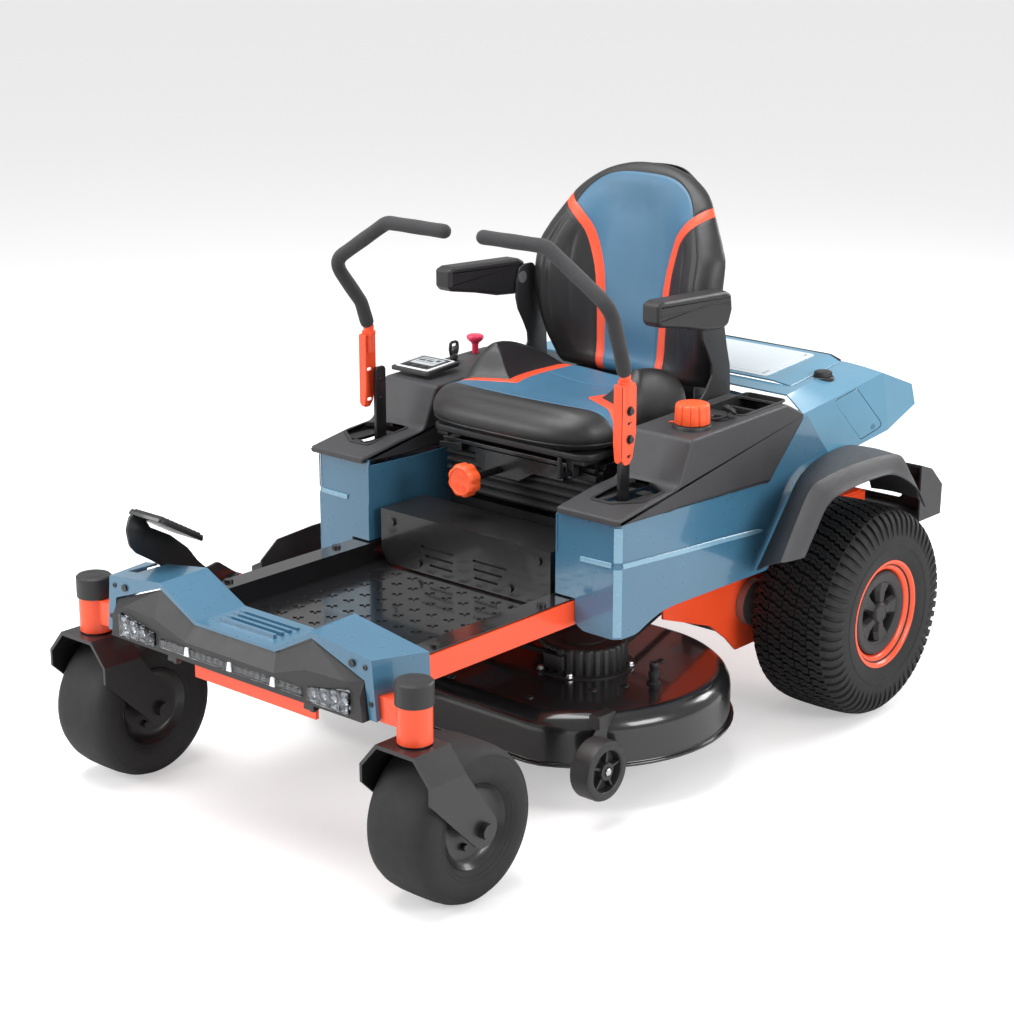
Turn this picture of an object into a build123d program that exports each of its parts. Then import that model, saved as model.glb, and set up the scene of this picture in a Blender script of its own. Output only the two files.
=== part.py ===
from build123d import *
import os
from math import cos, sin, radians

# Zero-turn mower, millimetres.  +Z up, ground at z = 0, front faces -Y, operator's left is +X.
# The origin lies on the ground under the middle of the machine's length.
# Places along the machine are "stations": distances behind the rear axle, negative ahead of it.

os.makedirs("parts", exist_ok=True)

SIDES = (-1, 1)         # right, left
CUT = Mode.SUBTRACT

# ------------------------------------------------------------------ driving dimensions
AXLE_Y = 498.0          # rear axle, from the origin
RUN = 0.06              # radial running clearance

# rear wheels
REAR_R = 228.6          # tyre radius, also the axle height
REAR_X = 451.0          # half track
REAR_SHAFT_R = 15.0

# caster wheels
CASTER_X = 433.4        # half track of the pivots
CASTER_PIVOT = -1326.4  # pivot station
CASTER_TRAIL = 83.4
CASTER_AXLE = CASTER_PIVOT + CASTER_TRAIL
CASTER_R = 148.0        # tyre radius, also the axle height
CASTER_TUBE_R = 32.0
CASTER_STEM_R = 12.70
CASTER_BOLT_R = 9.50
CASTER_PIVOTS = [(side * CASTER_X, CASTER_PIVOT) for side in SIDES]    # (x, station)

# frame rails
RAIL_IN, RAIL_OUT = 254.0, 303.0
RAIL_BOTTOM, RAIL_TOP = 345.0, 393.0
ENGINE_PLATE = 5.0
ENGINE_BASE = RAIL_TOP + ENGINE_PLATE

# controls
LEVER_STATION, LEVER_Z = -629, 480      # steering lever cross pivot
LEVER_PIN_R = 8
BAR_X, BAR_Z = 330, 515                 # lap bar hinge
BAR_PIN_R = 6
PEDAL_STATION, PEDAL_Z = -1050, 372     # deck lift pedal pivot
PEDAL_PIN_R = 9.9
PEDAL_BOSS_R = 18
KEY = (-372, -352)                      # (x, station) of the ignition key
SWITCH = (-390, -262)                   # of the blade switch
SWITCH_R = 8                            # key barrel and switch stem
DIAL = (360, -450)                      # of the height dial
DIAL_SHAFT_R = 6

# body
PANEL_X = 412.0         # outer face of the side panels
SKIN = 3.5
FILLER = (330, 57)      # (x, station) of the fuel filler
TRANSAXLE_SHAFT = (-160, 245)   # (station, z) of the transaxle's forward shaft

# seat
ARM_STATION, ARM_Z, ARM_PIN_R = -262, 893, 8
SLIDE_X, SLIDE_Z, SLIDE_R = 162, 592, 5         # slide release rod
KNOB_X, KNOB_Z, KNOB_SHAFT_R = -52, 555, 8      # suspension knob

# deck and belt drive
LOBE_X, LOBE_STATION = 200.0, -588.0
LOBE_R = 302.0          # skirt radius of each lobe
DECK_RIM, DECK_TOP = 95.0, 200.0
SPINDLE_X, SPINDLE_STATION = 205.0, -592.0
SPINDLE_R = 15
BLADE_R = 199.0
ENGINE_STATION = 40.0   # crankshaft
CRANK_R = 12.5
ENGINE_PULLEY_R, SPINDLE_PULLEY_R = 65, 60
PULLEY_Z, PULLEY_H = 215, 30
GAUGE_X, GAUGE_STATION, GAUGE_Z = 455.0, -850.0, 120.0
GAUGE_PIN_R = 8
HINGE = (-506, -590, 190)       # (x, station, z) of the chute hinge
HINGE_R = 5

# bolts in the front of the toe box, (x, z)
TOE_BOLTS = [(-200, 450), (200, 450), (-125, 377), (125, 377)]


# ------------------------------------------------------------------ placing helpers
def y_at(station):
    """The y of a station measured back from the rear axle."""
    return AXLE_Y + station


def level(z):
    """Horizontal plane; extrudes upward."""
    return Plane.XY.offset(z)


def cross_plane(station):
    """Plane across the machine, sketched in (x, z); extrudes forward."""
    return Plane.XZ.offset(-y_at(station))


def side_plane(x, thickness=0):
    """Side-view plane, sketched in (y, z); a sheet of this thickness ends up centred on x."""
    return Plane.YZ.offset(x - thickness / 2)


def plan(*points):
    """(x, station) points as (x, y)."""
    return [(x, y_at(station)) for x, station in points]


def symmetric(*half):
    """Half an outline, then its mirror image across x = 0 back to the start."""
    return list(half) + [(-x, z) for x, z in reversed(half) if x != 0]


def on_side(side, points):
    """Points given for the left, taken to the chosen side."""
    return [(side * x, z) for x, z in points]


# The helpers below add to whichever part or sketch is open.
def outline(points):
    Polygon(*points, align=None)


def side_outline(points):
    """Polygon of (station, z) points."""
    Polygon(*[(y_at(station), z) for station, z in points], align=None)


def block(size, at, mode=Mode.ADD):
    """Box centred on (x, station, z)."""
    x, station, z = at
    with Locations((x, y_at(station), z)):
        Box(*size, mode=mode)


def rod_x(radius, length, at, mode=Mode.ADD):
    """Cylinder lying across the machine, centred on (x, station, z)."""
    x, station, z = at
    with Locations(Location((x, y_at(station), z), (0, 90, 0))):
        Cylinder(radius, length, mode=mode)


def rod_y(radius, length, at, mode=Mode.ADD):
    """Cylinder lying along the machine, centred on (x, station, z)."""
    x, station, z = at
    with Locations(Location((x, y_at(station), z), (90, 0, 0))):
        Cylinder(radius, length, mode=mode)


def upright(radius, bottom, height, *centres, mode=Mode.ADD):
    """Vertical cylinder at each (x, station)."""
    with Locations(*[(x, y, bottom) for x, y in plan(*centres)]):
        Cylinder(radius, height, align=(Align.CENTER, Align.CENTER, Align.MIN), mode=mode)


def turned(profile, x, station, z):
    """Solid turned about a wheel axle; the profile is (x, radius) from the wheel centre."""
    with BuildPart() as wheel:
        with BuildSketch(cross_plane(station)):
            with Locations((x, z)):
                outline(profile)
        revolve(axis=Axis((0, y_at(station), z), (1, 0, 0)))
    return wheel.part


# ------------------------------------------------------------------ main frame
# (station, z)
TRANSAXLE_PLATE = [
    (-470, 390), (-462, 282), (-300, 225), (-240, 180), (-205, 146),
    (60, 146), (110, 205), (110, 390)]
LEVER_POST = [(-655, 392), (-655, 480), (-645, 498), (-613, 498), (-603, 480), (-603, 392)]


def main_frame():
    rail_x = (RAIL_IN + RAIL_OUT) / 2
    rail_z = (RAIL_BOTTOM + RAIL_TOP) / 2
    rail_rear, rail_front = 286, -1322
    tube_bottom, tube_height = 319, 86
    with BuildPart() as frame:
        # two rails
        with BuildSketch(cross_plane(rail_rear)):
            with Locations((-rail_x, rail_z), (rail_x, rail_z)):
                Rectangle(RAIL_OUT - RAIL_IN, RAIL_TOP - RAIL_BOTTOM)
        extrude(amount=rail_rear - rail_front)
        # front beam that carries the caster tubes, with a plate hanging below it
        with BuildSketch(level(340)):
            with Locations((0, y_at(-1320))):
                Rectangle(810, 40)
        extrude(amount=48)
        with BuildSketch(cross_plane(-1298)):
            with Locations((0, 311)):
                Rectangle(330, 62)
        extrude(amount=8)
        # caster tubes, bored for the stem and relieved inside
        upright(CASTER_TUBE_R, tube_bottom, tube_height, *CASTER_PIVOTS)
        upright(CASTER_STEM_R + RUN, tube_bottom, tube_height, *CASTER_PIVOTS, mode=CUT)
        upright(24, tube_bottom + 15, tube_height - 30, *CASTER_PIVOTS, mode=CUT)
        # cross members: a thin one under the foot well, two deep ones behind
        for station, height in ((-1180, 3), (-640, 40), (-300, 40)):
            with BuildSketch(level(346)):
                with Locations((0, y_at(station))):
                    Rectangle(510, 40)
            extrude(amount=height)
        # engine plate on top of the rails
        with BuildSketch(level(RAIL_TOP)):
            with Locations((0, y_at(60))):
                Rectangle(600, 440)
            with Locations((0, y_at(ENGINE_STATION))):
                Circle(45, mode=CUT)
        extrude(amount=ENGINE_PLATE)
        # dropped side plates that hold the transaxles
        for side in SIDES:
            with BuildSketch(side_plane(side * 305.5, 5)):
                side_outline(TRANSAXLE_PLATE)
                with Locations((y_at(0), REAR_R)):
                    Circle(47, mode=CUT)
                with Locations((y_at(TRANSAXLE_SHAFT[0]), TRANSAXLE_SHAFT[1])):
                    Circle(22, mode=CUT)
            extrude(amount=5)
        # rear cross plate and hitch
        with BuildSketch(cross_plane(291)):
            with Locations((0, 359)):
                Rectangle(2 * RAIL_OUT, 68)
        extrude(amount=6)
        with BuildSketch(level(325)):
            with Locations((0, y_at(337))):
                Rectangle(100, 104)
            with Locations((0, y_at(365))):
                Circle(8, mode=CUT)
        extrude(amount=6)
        # lever pivot posts and pins
        for side in SIDES:
            with BuildSketch(side_plane(side * 279, 6)):
                side_outline(LEVER_POST)
            extrude(amount=6)
            rod_x(LEVER_PIN_R, 76, (side * 315, LEVER_STATION, LEVER_Z))
        # pedal pivot boss and pin on the right rail
        rod_x(PEDAL_BOSS_R, 14, (-309, PEDAL_STATION, PEDAL_Z))
        rod_x(PEDAL_PIN_R, 52, (-328, PEDAL_STATION, PEDAL_Z))
    return frame.part


# ------------------------------------------------------------------ casters
def caster_caps():
    bottom, height, top_thickness = 389, 43, 6
    with BuildPart() as caps:
        upright(35, bottom, height, *CASTER_PIVOTS)
        chamfer(caps.edges().filter_by(GeomType.CIRCLE).group_by(Axis.Z)[-1], 3)
        upright(CASTER_TUBE_R + 0.2, bottom, height - top_thickness, *CASTER_PIVOTS, mode=CUT)
    return caps.part


# folded top plate, (x from the pivot, z)
FORK_OUTER = [(-85.5, 240), (-85.5, 270), (-46, 316)]
FORK_INNER = [(79.5, 240), (79.5, 267.5), (43, 308.5)]
# raked leg, (station, z)
FORK_LEG = [(-1378, 268), (-1288, 268), (-1216, 167), (-1266.3, 124.6), (-1378, 236)]


def left_caster_fork():
    leg_x, leg_thickness = 82.5, 6
    pivot = (CASTER_X, CASTER_PIVOT)
    with BuildPart() as fork:
        with BuildSketch(cross_plane(-1288)):
            with Locations((CASTER_X, 0)):
                outline(symmetric(*FORK_OUTER) + symmetric(*FORK_INNER))
        extrude(amount=90)
        # legs with round eyes for the wheel bolt
        for side in SIDES:
            with BuildSketch(side_plane(CASTER_X + side * leg_x, leg_thickness)):
                side_outline(FORK_LEG)
                with Locations((y_at(CASTER_AXLE), CASTER_R)):
                    Circle(33)
                    Circle(CASTER_BOLT_R + 0.1, mode=CUT)
            extrude(amount=leg_thickness)
        # swivel stem, shoulder and lock nut
        upright(CASTER_STEM_R, 310, 112, pivot)
        upright(28, 315, 3.6, pivot)
        with BuildSketch(level(405.8)):
            with Locations(*plan(pivot)):
                RegularPolygon(17, 6)
        extrude(amount=13)
        # wheel bolt with its end collars: a separate solid, clear of the legs
        rod_x(CASTER_BOLT_R, 196, (CASTER_X, CASTER_AXLE, CASTER_R))
        for side in SIDES:
            rod_x(15, 12.4, (CASTER_X + side * 92, CASTER_AXLE, CASTER_R))
    return fork.part


# Wheel profiles: (x, radius) from the wheel centre, +x outward on the left wheel.
CASTER_RIM = symmetric(
    (72, CASTER_BOLT_R + RUN), (72, 20), (5, 24), (5, 56), (54, 58), (58, 75),
    (61, 75), (58, 61), (56, 63))
CASTER_TYRE = symmetric(
    # inside, from the crown to the bead
    (0, 138), (56, 132), (66, 118), (64, 96), (46, 84), (36, 64),
    # outside, back up to the tread
    (55, 64), (56.5, 76.5), (66, 80), (73, 92), (76.5, 108), (74, 126), (65, 139),
    (45, 146.5), (0, CASTER_R))


def left_caster_rim():
    return turned(CASTER_RIM, CASTER_X, CASTER_AXLE, CASTER_R)


def left_caster_tyre():
    return turned(CASTER_TYRE, CASTER_X, CASTER_AXLE, CASTER_R)


# ------------------------------------------------------------------ rear wheels
# barrel with both flanges, web, hub and axle shaft
REAR_RIM = [
    (-150, 0), (40, 0), (40, 34), (30, 36), (30, 94), (88, 97), (96, 104), (98.5, 120),
    (103, 120), (100, 101), (92, 93), (92, 101.5), (88, 102), (-94, 102), (-98.5, 120),
    (-103, 120), (-98, 97), (24, 94), (24, 36), (-55, 34), (-55, REAR_SHAFT_R),
    (-150, REAR_SHAFT_R)]
REAR_TYRE = symmetric(
    # inside, from the crown to the bead
    (0, 213), (74, 208), (90, 192), (95, 165), (88, 128), (72, 103),
    # outside, back up to the tread
    (93, 103), (97.6, 121), (103.5, 138), (106.4, 165), (104, 190), (96, 211), (84, 223),
    (60, 228), (0, REAR_R))
WHEEL_COVER = [
    (43, 0), (50, 0), (52, 22), (47, 30), (50, 74), (78, 86), (90, 92), (86, 92.5),
    (74, 90), (45, 78), (43, 40)]


def left_rear_rim():
    return turned(REAR_RIM, REAR_X, 0, REAR_R)


def left_rear_tyre():
    return turned(REAR_TYRE, REAR_X, 0, REAR_R)


def left_wheel_cover():
    dish = turned(WHEEL_COVER, REAR_X, 0, REAR_R)
    with BuildPart() as cover:
        add(dish)
        # five wedge spokes
        with BuildSketch(side_plane(REAR_X + 46)):
            with Locations((y_at(0), REAR_R)):
                with PolarLocations(0, 5):
                    outline([(20, -6), (20, 6), (76, 17), (76, -17)])
        extrude(amount=18)
    return cover.part


# (station, z)
TRANSAXLE_CASE = [
    (-205, 175), (-205, 275), (-150, 300), (-40, 300), (50, 275), (60, 215), (40, 165),
    (-60, 160)]


def transaxles():
    with BuildPart() as units:
        for side in SIDES:
            with BuildSketch(side_plane(side * 225, 120)):
                side_outline(TRANSAXLE_CASE)
            extrude(amount=120)
            # axle housing, bored for the wheel shaft
            rod_x(38, 110, (side * 330, 0, REAR_R))
            rod_x(REAR_SHAFT_R + RUN, 100, (side * 345, 0, REAR_R), mode=CUT)
            # disc and shaft through the side plate
            rod_x(50, 18, (side * 318.5, *TRANSAXLE_SHAFT))
            rod_x(20, 40, (side * 295, *TRANSAXLE_SHAFT))
    return units.part


# ------------------------------------------------------------------ foot well
# floor side wall and the flange that rests on the rail, (x, z)
FLOOR_WALL = [
    (248.5, 350), (251.5, 350), (251.5, 394.4), (298, 394.4), (298, 397), (248.5, 397)]


def floor_pan():
    floor_z, thickness = 350, 3
    pitch = 46
    with BuildPart() as pan:
        with BuildSketch(level(floor_z)):
            with Locations((0, y_at(-980))):
                Rectangle(503, 590)
        extrude(amount=thickness)
        for side in SIDES:
            with BuildSketch(cross_plane(-685)):
                outline(on_side(side, FLOOR_WALL))
            extrude(amount=560)
        # raised slip-resistant lugs: two interleaved grids, slanted opposite ways
        with BuildSketch(level(floor_z + thickness)):
            with Locations((0, y_at(-990))):
                with GridLocations(pitch, pitch, 10, 11):
                    SlotOverall(22, 5, rotation=45)
            with Locations((pitch / 2, y_at(-990 + pitch / 2))):
                with GridLocations(pitch, pitch, 9, 10):
                    SlotOverall(22, 5, rotation=-45)
        extrude(amount=2)
    return pan.part


def toe_box():
    front, depth = -730, 130
    with BuildPart() as box:
        # sheet box, open at the bottom and the back
        with BuildSketch(cross_plane(front)):
            outline(symmetric((-232, 474), (-232, 385), (-214, 357)))
        extrude(amount=-depth)
        with BuildSketch(cross_plane(front + 3)):
            outline(symmetric((-229, 471), (-229, 386), (-214, 350)))
        extrude(amount=-depth, mode=CUT)
        block((480, 120, 48), (0, -640, 364), mode=CUT)
        # louvre slots, shorter and closer in lower down, and bolt holes in the front
        with BuildSketch(cross_plane(front - 1)):
            for side in SIDES:
                for row in range(3):
                    with Locations((side * (72 - 5 * row), 414 - 18 * row)):
                        SlotOverall(92 - 14 * row, 5)
            with Locations(*TOE_BOLTS):
                Circle(4.3)
        extrude(amount=-6, mode=CUT)
    return box.part


# ------------------------------------------------------------------ bumper
# Sections at the front and back, as (station, right half of the (x, z) outline).
BUMPER_OUTER = [
    (-1350, [(-365, 342), (-354, 453), (-204, 471), (-106, 416)]),
    (-1236, [(-386, 392), (-384, 446), (-200, 474), (-94, 421)])]
BUMPER_INNER = [
    (-1346, [(-361, 330), (-350, 449), (-204, 466.5), (-107, 412)]),
    (-1235, [(-382, 330), (-380, 442), (-200, 469.5), (-95, 417)])]
# right halves, (x, z)
BUMPER_WINDOW = [(-348, 330), (-337, 412), (-205, 459.5), (-109, 409.5)]
FASCIA_OUTER = [(-346, 335), (-335, 410), (-205, 457), (-109, 407.5)]
FASCIA_INNER = [(-342.5, 338), (-332, 407.5), (-205, 453), (-110, 404)]
HEADLIGHTS = [(-260, 368), (260, 368)]
HEADLIGHT_SIZE = (106, 46)
LIGHT_BAR = (0, 362)
LIGHT_BAR_SIZE = (389, 27)


def bumper_cover():
    with BuildPart() as cover:
        for sections, mode in ((BUMPER_OUTER, Mode.ADD), (BUMPER_INNER, CUT)):
            for station, half in sections:
                with BuildSketch(cross_plane(station)):
                    outline(symmetric(*half))
            loft(ruled=True, mode=mode)
        # window for the fascia
        with BuildSketch(cross_plane(-1340)):
            outline(symmetric(*BUMPER_WINDOW))
        extrude(amount=20, mode=CUT)
        # clearance for the front beam
        with BuildSketch(cross_plane(-1342)):
            with Locations((-375, 360), (375, 360)):
                Rectangle(70, 61)
        extrude(amount=-120, mode=CUT)
        # notch for the pedal arm
        block((30, 80, 80), (-333, -1270, 440), mode=CUT)
        # four ribs across the centre step, longer toward the back
        first, pitch = -1315, 18
        with BuildSketch(level(416)):
            for rib in range(4):
                with Locations((0, y_at(first + rib * pitch))):
                    SlotOverall(150 + rib * pitch * 0.15, 8)
        extrude(amount=9)
    return cover.part


def front_fascia():
    gap = 1     # opening larger than the light in width and height
    with BuildPart() as fascia:
        with BuildSketch(cross_plane(-1343)):
            outline(symmetric(*FASCIA_OUTER))
        extrude(amount=24)
        with BuildSketch(cross_plane(-1342)):
            outline(symmetric(*FASCIA_INNER))
        extrude(amount=21.5, mode=CUT)
        # openings for the lights
        with BuildSketch(cross_plane(-1360)):
            with Locations(*HEADLIGHTS):
                Rectangle(*[size + gap for size in HEADLIGHT_SIZE])
            with Locations(LIGHT_BAR):
                Rectangle(*[size + gap for size in LIGHT_BAR_SIZE])
        extrude(amount=10, mode=CUT)
    return fascia.part


def front_lights():
    with BuildPart() as lights:
        with BuildSketch(cross_plane(-1352)):
            with Locations(*HEADLIGHTS):
                RectangleRounded(*HEADLIGHT_SIZE, 4)
            with Locations(LIGHT_BAR):
                RectangleRounded(*LIGHT_BAR_SIZE, 4)
        extrude(amount=14)
    return lights.part


# ------------------------------------------------------------------ side panels
# (station, z)
PANEL_OUTER = [
    (-743, 575), (-743, 337), (-690, 335), (-660, 345), (-600, 364), (-250, 359),
    (-232, 377), (-179, 453), (-126, 515), (-88, 544), (-20, 549), (-64, 598),
    (-119, 663), (-131, 666), (-253, 547), (-561, 560), (-585, 559)]
PANEL_INNER = [(-743, 572), (-743, 400), (-430, 400), (-430, 556), (-561, 556), (-585, 556)]
# (x, z)
PANEL_FRONT = [
    (255, 566), (255, 400), (306, 400), (306, 352), (326, 337), (PANEL_X, 337),
    (PANEL_X, 575), (268, 570), (268, 566)]


def side_panels():
    with BuildPart() as panels:
        for side in SIDES:
            # outer skin
            with BuildSketch(side_plane(side * (PANEL_X - SKIN / 2), SKIN)):
                side_outline(PANEL_OUTER)
            extrude(amount=SKIN)
            # front skin
            with BuildSketch(cross_plane(-739.5)):
                outline(on_side(side, PANEL_FRONT))
            extrude(amount=SKIN)
            # inner skin
            with BuildSketch(side_plane(side * (255 + SKIN / 2), SKIN)):
                side_outline(PANEL_INNER)
            extrude(amount=SKIN)
    return panels.part


# ------------------------------------------------------------------ consoles
CONSOLE_IN, CONSOLE_OUT = 262, 418
# (station, z)
CONSOLE_OUTER = [
    (-751, 567), (-751, 580), (-642, 598), (-567, 604), (-526, 693), (-200, 704),
    (-134, 672), (-254, 550), (-561, 563), (-585, 562)]
CONSOLE_INNER = [
    (-747.5, 560), (-747.5, 576.8), (-641, 594.5), (-564.5, 600.5), (-523.5, 689.5),
    (-201, 700.5), (-139, 671), (-100, 560), (-300, 520)]
# (x, station)
LEVER_SLOT = [(306, -692), (352, -692), (402, -660), (402, -598), (352, -572), (306, -572)]


def console_shell(side):
    """Hollow console with its lever slot."""
    width = CONSOLE_OUT - CONSOLE_IN
    middle = side * (CONSOLE_IN + CONSOLE_OUT) / 2
    with BuildPart() as shell:
        for points, thickness, mode in (
                (CONSOLE_OUTER, width, Mode.ADD), (CONSOLE_INNER, width - 2 * SKIN, CUT)):
            with BuildSketch(side_plane(middle, thickness)):
                side_outline(points)
            extrude(amount=thickness, mode=mode)
        with BuildSketch(level(560)):
            outline(plan(*on_side(side, LEVER_SLOT)))
        extrude(amount=60, mode=CUT)
    return shell.part


def left_console():
    shell = console_shell(1)
    with BuildPart() as console:
        add(shell)
        # storage bin with its divider
        with BuildSketch(level(620)):
            with Locations((346, y_at(-252))):
                Rectangle(104, 156)
        extrude(amount=79)
        with BuildSketch(level(624)):
            with Locations(*plan((346, -287), (346, -213))):
                Rectangle(97, 72)
        extrude(amount=90, mode=CUT)
        # hole for the dial's shaft
        upright(DIAL_SHAFT_R + RUN, 680, 30, DIAL, mode=CUT)
    return console.part


def right_console():
    shell = console_shell(-1)
    with BuildPart() as console:
        add(shell)
        # holes for the key barrel and the switch stem
        upright(SWITCH_R + RUN, 680, 30, KEY, SWITCH, mode=CUT)
    return console.part


def display_panel():
    tilted = Plane(origin=(-364, y_at(-452), 706), x_dir=(1, 0, 0), z_dir=(0, -0.07, 0.9975))
    with BuildPart() as panel:
        with BuildSketch(tilted):
            RectangleRounded(112, 104, 6)
        extrude(amount=10)
    return panel.part


def ignition_key():
    x, station = KEY
    thickness = 3
    with BuildPart() as key:
        upright(SWITCH_R, 687, 26, KEY)
        # bow with its slot
        with BuildSketch(side_plane(x, thickness)):
            with Locations((y_at(station), 728)):
                RectangleRounded(26, 32, 6)
                with Locations((0, 8)):
                    SlotOverall(13, 6, mode=CUT)
        extrude(amount=thickness)
    return key.part


# (radius, z): stem, then the flared head
PTO_PROFILE = [
    (0, 670), (SWITCH_R, 670), (SWITCH_R, 730), (19, 736), (20, 742), (14, 745), (0, 746)]


def pto_knob():
    x, station = SWITCH
    with BuildPart() as knob:
        with BuildSketch(cross_plane(station)):
            with Locations((x, 0)):
                outline(PTO_PROFILE)
        revolve(axis=Axis((x, y_at(station), 0), (0, 0, 1)))
    return knob.part


def height_dial():
    with BuildPart() as dial:
        # head with grip flutes
        with BuildSketch(level(700)):
            with Locations(*plan(DIAL)):
                Circle(36)
                with PolarLocations(37.5, 12):
                    Circle(5, mode=CUT)
        extrude(amount=44)
        fillet(dial.faces().sort_by(Axis.Z)[-1].edges(), 3)
        upright(DIAL_SHAFT_R, 678, 24, DIAL)
    return dial.part


# ------------------------------------------------------------------ fenders
# (station, z): the arch along the top, then each sheet's lower edge from back to front
FENDER_ARCH = [
    (-382, 434), (-290, 563), (-238, 577), (-41, 585), (45, 568), (97, 515), (135, 452)]
FENDER_TOP_UNDERSIDE = [
    (131, 449), (93, 511), (43, 563), (-41, 579.5), (-237, 571.5), (-287, 558.5), (-377, 432)]
FENDER_LIP_EDGE = [
    (129, 440), (84, 494), (2, 538), (-68, 549), (-200, 544), (-256, 527), (-327, 434)]
FENDER_INNER_EDGE = [
    (119, 470), (60, 540), (-49, 569), (-108, 565), (-217, 469), (-289, 373), (-330, 373)]
# (lower edge, centre x, width): arched top, outer lip, inner sheet against the body
FENDER_SHEETS = [
    (FENDER_TOP_UNDERSIDE, 488, 138), (FENDER_LIP_EDGE, 554.5, 5), (FENDER_INNER_EDGE, 421, 4)]


def rear_fenders():
    with BuildPart() as fenders:
        for side in SIDES:
            for lower_edge, x, width in FENDER_SHEETS:
                with BuildSketch(side_plane(side * x, width)):
                    side_outline(FENDER_ARCH + lower_edge)
                extrude(amount=width)
    return fenders.part


# ------------------------------------------------------------------ rear shroud and hood
# Sections as (station, right half of the (x, z) outline).
SHROUD_FRONT = (-118, [(-412, 540), (-400, 665), (-359, 700)])
SHROUD_MIDDLE = (196, [(-412, 571), (-394, 697), (-303, 707)])
SHROUD_REAR = (336, [(-394, 602), (-384, 645), (-290, 651)])
HOLLOW_FRONT = (-119, [(-408.5, 520), (-396.7, 663), (-358, 696)])
HOLLOW_MIDDLE = (195, [(-408.5, 520), (-390.7, 693.5), (-302, 703)])
HOLLOW_REAR = (332, [(-391, 580), (-380.7, 641.5), (-290, 647)])
SHROUD_LOFTS = [
    (SHROUD_FRONT, SHROUD_MIDDLE, Mode.ADD),
    (SHROUD_MIDDLE, SHROUD_REAR, Mode.ADD),
    (HOLLOW_FRONT, HOLLOW_MIDDLE, CUT),
    (HOLLOW_MIDDLE, HOLLOW_REAR, CUT)]
# material removed below the seam with the side panels, (station, z)
SHROUD_SEAM = [
    (-140, 500), (-140, 666), (-117.5, 666), (-62, 599.5), (-17, 550), (211, 570),
    (338, 604), (338, 500)]
# Plane of the left flank, and the hatch on it: x runs back and y up.
FLANK = Plane(origin=(403.6, y_at(90), 626.5), x_dir=(0, 1, 0), z_dir=(0.9925, 0, 0.1219))
HATCH_OPENING = [(-93.4, 45.4), (-0.5, 56.8), (93.3, -43), (0.4, -57)]
HATCH_DOOR = [(-90, 43.5), (0, 54.5), (91.5, -42), (1.2, -55.5)]


def rear_shroud():
    with BuildPart() as shroud:
        for front, rear, mode in SHROUD_LOFTS:
            for station, half in (front, rear):
                with BuildSketch(cross_plane(station)):
                    outline(symmetric(*half))
            loft(ruled=True, mode=mode)
        # opening for the hood
        with BuildSketch(level(690)):
            outline(plan((-327.5, -57), (327.5, -57), (289.5, 192.5), (-289.5, 192.5)))
        extrude(amount=40, mode=CUT)
        # lower edge follows the seam with the side panels
        with BuildSketch(side_plane(-430)):
            side_outline(SHROUD_SEAM)
        extrude(amount=860, mode=CUT)
        # opening for the hatch in the left flank
        with BuildSketch(FLANK):
            outline(HATCH_OPENING)
        extrude(amount=10, both=True, mode=CUT)
        # filler neck hole
        upright(14, 680, 50, FILLER, mode=CUT)
    return shroud.part


def access_door():
    with BuildPart() as door:
        with BuildSketch(FLANK):
            outline(HATCH_DOOR)
        extrude(amount=-2)
    return door.part


def fuel_cap():
    with BuildPart() as cap:
        upright(20, 706.5, 9, FILLER)
        upright(13, 690, 17, FILLER)
    return cap.part


# (station, right half of the top surface, underside from left to right), points (x, z)
HOOD_SECTIONS = [
    (-55, [(-325, 698.3), (-325, 702.3), (-282, 707.5)], [(282, 703.5), (-282, 703.5)]),
    (190, [(-287, 703.5), (-287, 707), (-258, 718)], [(258, 713.5), (-258, 713.5)])]


def hood():
    with BuildPart() as cover:
        for station, top_half, underside in HOOD_SECTIONS:
            with BuildSketch(cross_plane(station)):
                outline(symmetric(*top_half) + underside)
        loft(ruled=True)
    return cover.part


# (station, z)
REAR_BUMPER_OUTER = [(302, 343), (393, 343), (395, 412), (347, 458), (302, 474)]
REAR_BUMPER_INNER = [(296, 347), (389, 347), (391, 410), (345, 453.5), (296, 470)]


def rear_bumper():
    half_width, wall = 440, 4
    with BuildPart() as bumper:
        with BuildSketch(side_plane(-half_width)):
            side_outline(REAR_BUMPER_OUTER)
        extrude(amount=2 * half_width)
        with BuildSketch(side_plane(-half_width + wall)):
            side_outline(REAR_BUMPER_INNER)
        extrude(amount=2 * (half_width - wall), mode=CUT)
        # cut-outs either side of the hitch
        with BuildSketch(cross_plane(398)):
            with Locations((-250, 378), (250, 378)):
                RectangleRounded(180, 34, 12)
        extrude(amount=12, both=True, mode=CUT)
    return bumper.part


# ------------------------------------------------------------------ engine
def engine():
    crank = (0, ENGINE_STATION)
    with BuildPart() as motor:
        upright(110, ENGINE_BASE, 162, crank)
        # vee cylinders pointing back, each with six fins
        for angle in (-45, 45):
            along = (sin(radians(angle)), cos(radians(angle)), 0)
            root = Plane(origin=(0, y_at(ENGINE_STATION), 480), x_dir=(0, 0, 1), z_dir=along)
            with BuildSketch(root):
                Rectangle(110, 96)
            extrude(amount=215)
            for fin in range(6):
                with BuildSketch(root.offset(120 + 14 * fin)):
                    Rectangle(128, 116)
                extrude(amount=5)
        # cooling fan housing and air cleaner
        upright(135, 560, 40, crank)
        upright(62, 600, 55, crank)
        # crankshaft bore
        upright(CRANK_R + RUN, ENGINE_BASE, 30, crank, mode=CUT)
        # silencer across the back on two feet
        rod_x(38, 330, (0, 238, 470))
        for side in SIDES:
            block((30, 40, 44), (side * 120, 238, 420))
    return motor.part


def engine_pulley():
    crank = (0, ENGINE_STATION)
    with BuildPart() as pulley:
        upright(ENGINE_PULLEY_R, PULLEY_Z, PULLEY_H, crank)
        upright(CRANK_R, PULLEY_Z + PULLEY_H, 180, crank)
    return pulley.part


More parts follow.
